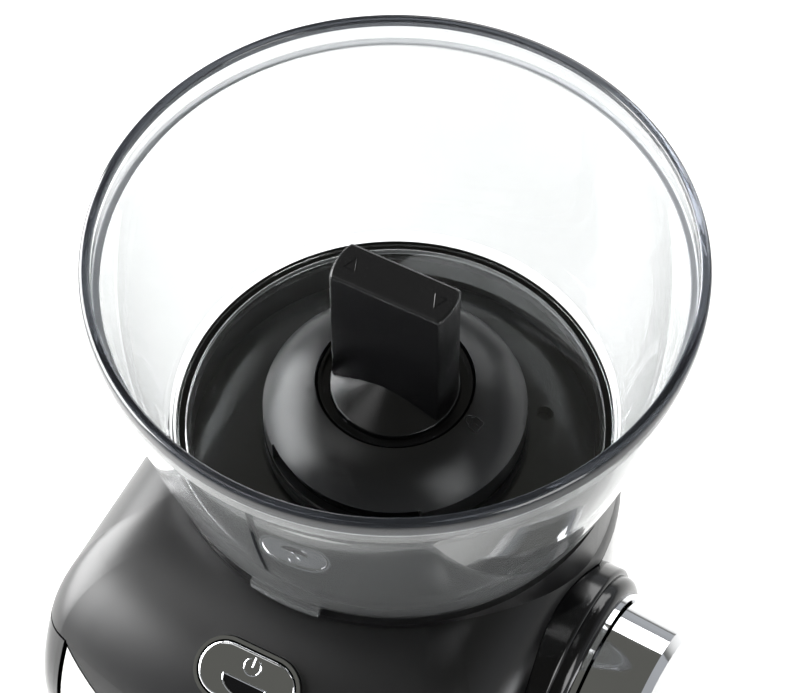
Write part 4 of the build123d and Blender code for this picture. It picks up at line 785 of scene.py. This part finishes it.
class GRINDER_OT_stage(bpy.types.Operator):
    """Set up the pale floor, the soft studio lights and the camera"""
    bl_idname = "grinder.stage"
    bl_label = "Studio"

    def execute(self, context):
        scene = context.scene
        colours = scene.grinder_colours
        bm = bmesh.new()
        bmesh.ops.create_grid(bm, x_segments=1, y_segments=1, size=FLOOR_HALF)
        mesh = bpy.data.meshes.new("studio_floor")
        bm.to_mesh(mesh)
        bm.free()
        floor = bpy.data.objects.new("studio_floor", mesh)
        paint = bpy.data.materials.new("floor_paint_matt")
        paint.use_nodes = True
        skin = paint.node_tree.nodes["Principled BSDF"]
        skin.inputs["Base Color"].default_value = colours.floor
        skin.inputs["Roughness"].default_value = 0.9
        mesh.materials.append(paint)
        scene.collection.objects.link(floor)
        scene.world = scene.world or bpy.data.worlds.new("studio")
        scene.world.use_nodes = True
        self.surroundings(scene.world.node_tree, colours)
        for softbox in SOFTBOXES:
            self.light(*softbox)
        data = bpy.data.cameras.new("photo_camera")
        data.lens = CAMERA_LENS
        data.sensor_width = CAMERA_SENSOR
        camera = bpy.data.objects.new("photo_camera", data)
        camera.location = CAMERA_PLACE
        camera.rotation_euler = Vector(CAMERA_AIM).to_track_quat("-Z", "Y").to_euler()
        scene.collection.objects.link(camera)
        scene.camera = camera
        scene.view_settings.view_transform = "Standard"
        return {"FINISHED"}

    def surroundings(self, tree, colours):
        """Pale studio walls that darken towards the ceiling."""
        tree.nodes.clear()
        way = add(tree, "ShaderNodeTexCoord").outputs["Generated"]
        height = add(tree, "ShaderNodeSeparateXYZ", None, {"Vector": way}).outputs["Z"]
        share = add(tree, "ShaderNodeMapRange", None, {
            "Value": height, "From Min": 0.1, "From Max": 0.65}).outputs[0]
        tone = add(tree, "ShaderNodeMix", {"data_type": "RGBA"}, {
            0: share, 6: colours.horizon, 7: colours.zenith}).outputs[2]
        back = add(tree, "ShaderNodeBackground", None, {"Color": tone, "Strength": WALL_STRENGTH})
        add(tree, "ShaderNodeOutputWorld", None, {"Surface": back.outputs[0]})

    def light(self, name, place, aim, size, power):
        """Rectangular softbox turned towards a point."""
        data = bpy.data.lights.new(name, "AREA")
        data.shape = "RECTANGLE"
        data.size, data.size_y = size
        data.energy = power
        lamp = bpy.data.objects.new(name, data)
        lamp.location = place
        lamp.rotation_euler = (Vector(aim) - Vector(place)).to_track_quat("-Z", "Y").to_euler()
        bpy.context.scene.collection.objects.link(lamp)


STEPS = [
    GRINDER_OT_finishes, GRINDER_OT_hopper, GRINDER_OT_knob, GRINDER_OT_dome_mark, GRINDER_OT_button_mark,
    GRINDER_OT_base_screws, GRINDER_OT_vent_slats, GRINDER_OT_stage,
]


class GRINDER_PT_pieces(bpy.types.Panel):
    """Lists the pieces, sizes and colours of the grinder"""
    bl_idname = "GRINDER_PT_pieces"
    bl_label = "Grinder"
    bl_space_type = "VIEW_3D"
    bl_region_type = "UI"
    bl_category = "Grinder"

    def draw(self, context):
        for group in (context.scene.grinder_sizes, context.scene.grinder_colours):
            for name in group.__annotations__:
                self.layout.prop(group, name)
        for step in STEPS:
            self.layout.operator(step.bl_idname)


CLASSES = [GrinderSizes, GrinderColours, *STEPS, GRINDER_PT_pieces]


def register():
    for cls in CLASSES:
        bpy.utils.register_class(cls)
    bpy.types.Scene.grinder_sizes = bpy.props.PointerProperty(type=GrinderSizes)
    bpy.types.Scene.grinder_colours = bpy.props.PointerProperty(type=GrinderColours)


def unregister():
    del bpy.types.Scene.grinder_colours
    del bpy.types.Scene.grinder_sizes
    for cls in reversed(CLASSES):
        bpy.utils.unregister_class(cls)


def main():
    register()
    for step in STEPS:
        group, name = step.bl_idname.split(".")
        getattr(getattr(bpy.ops, group), name)()


if __name__ == "__main__":
    main()
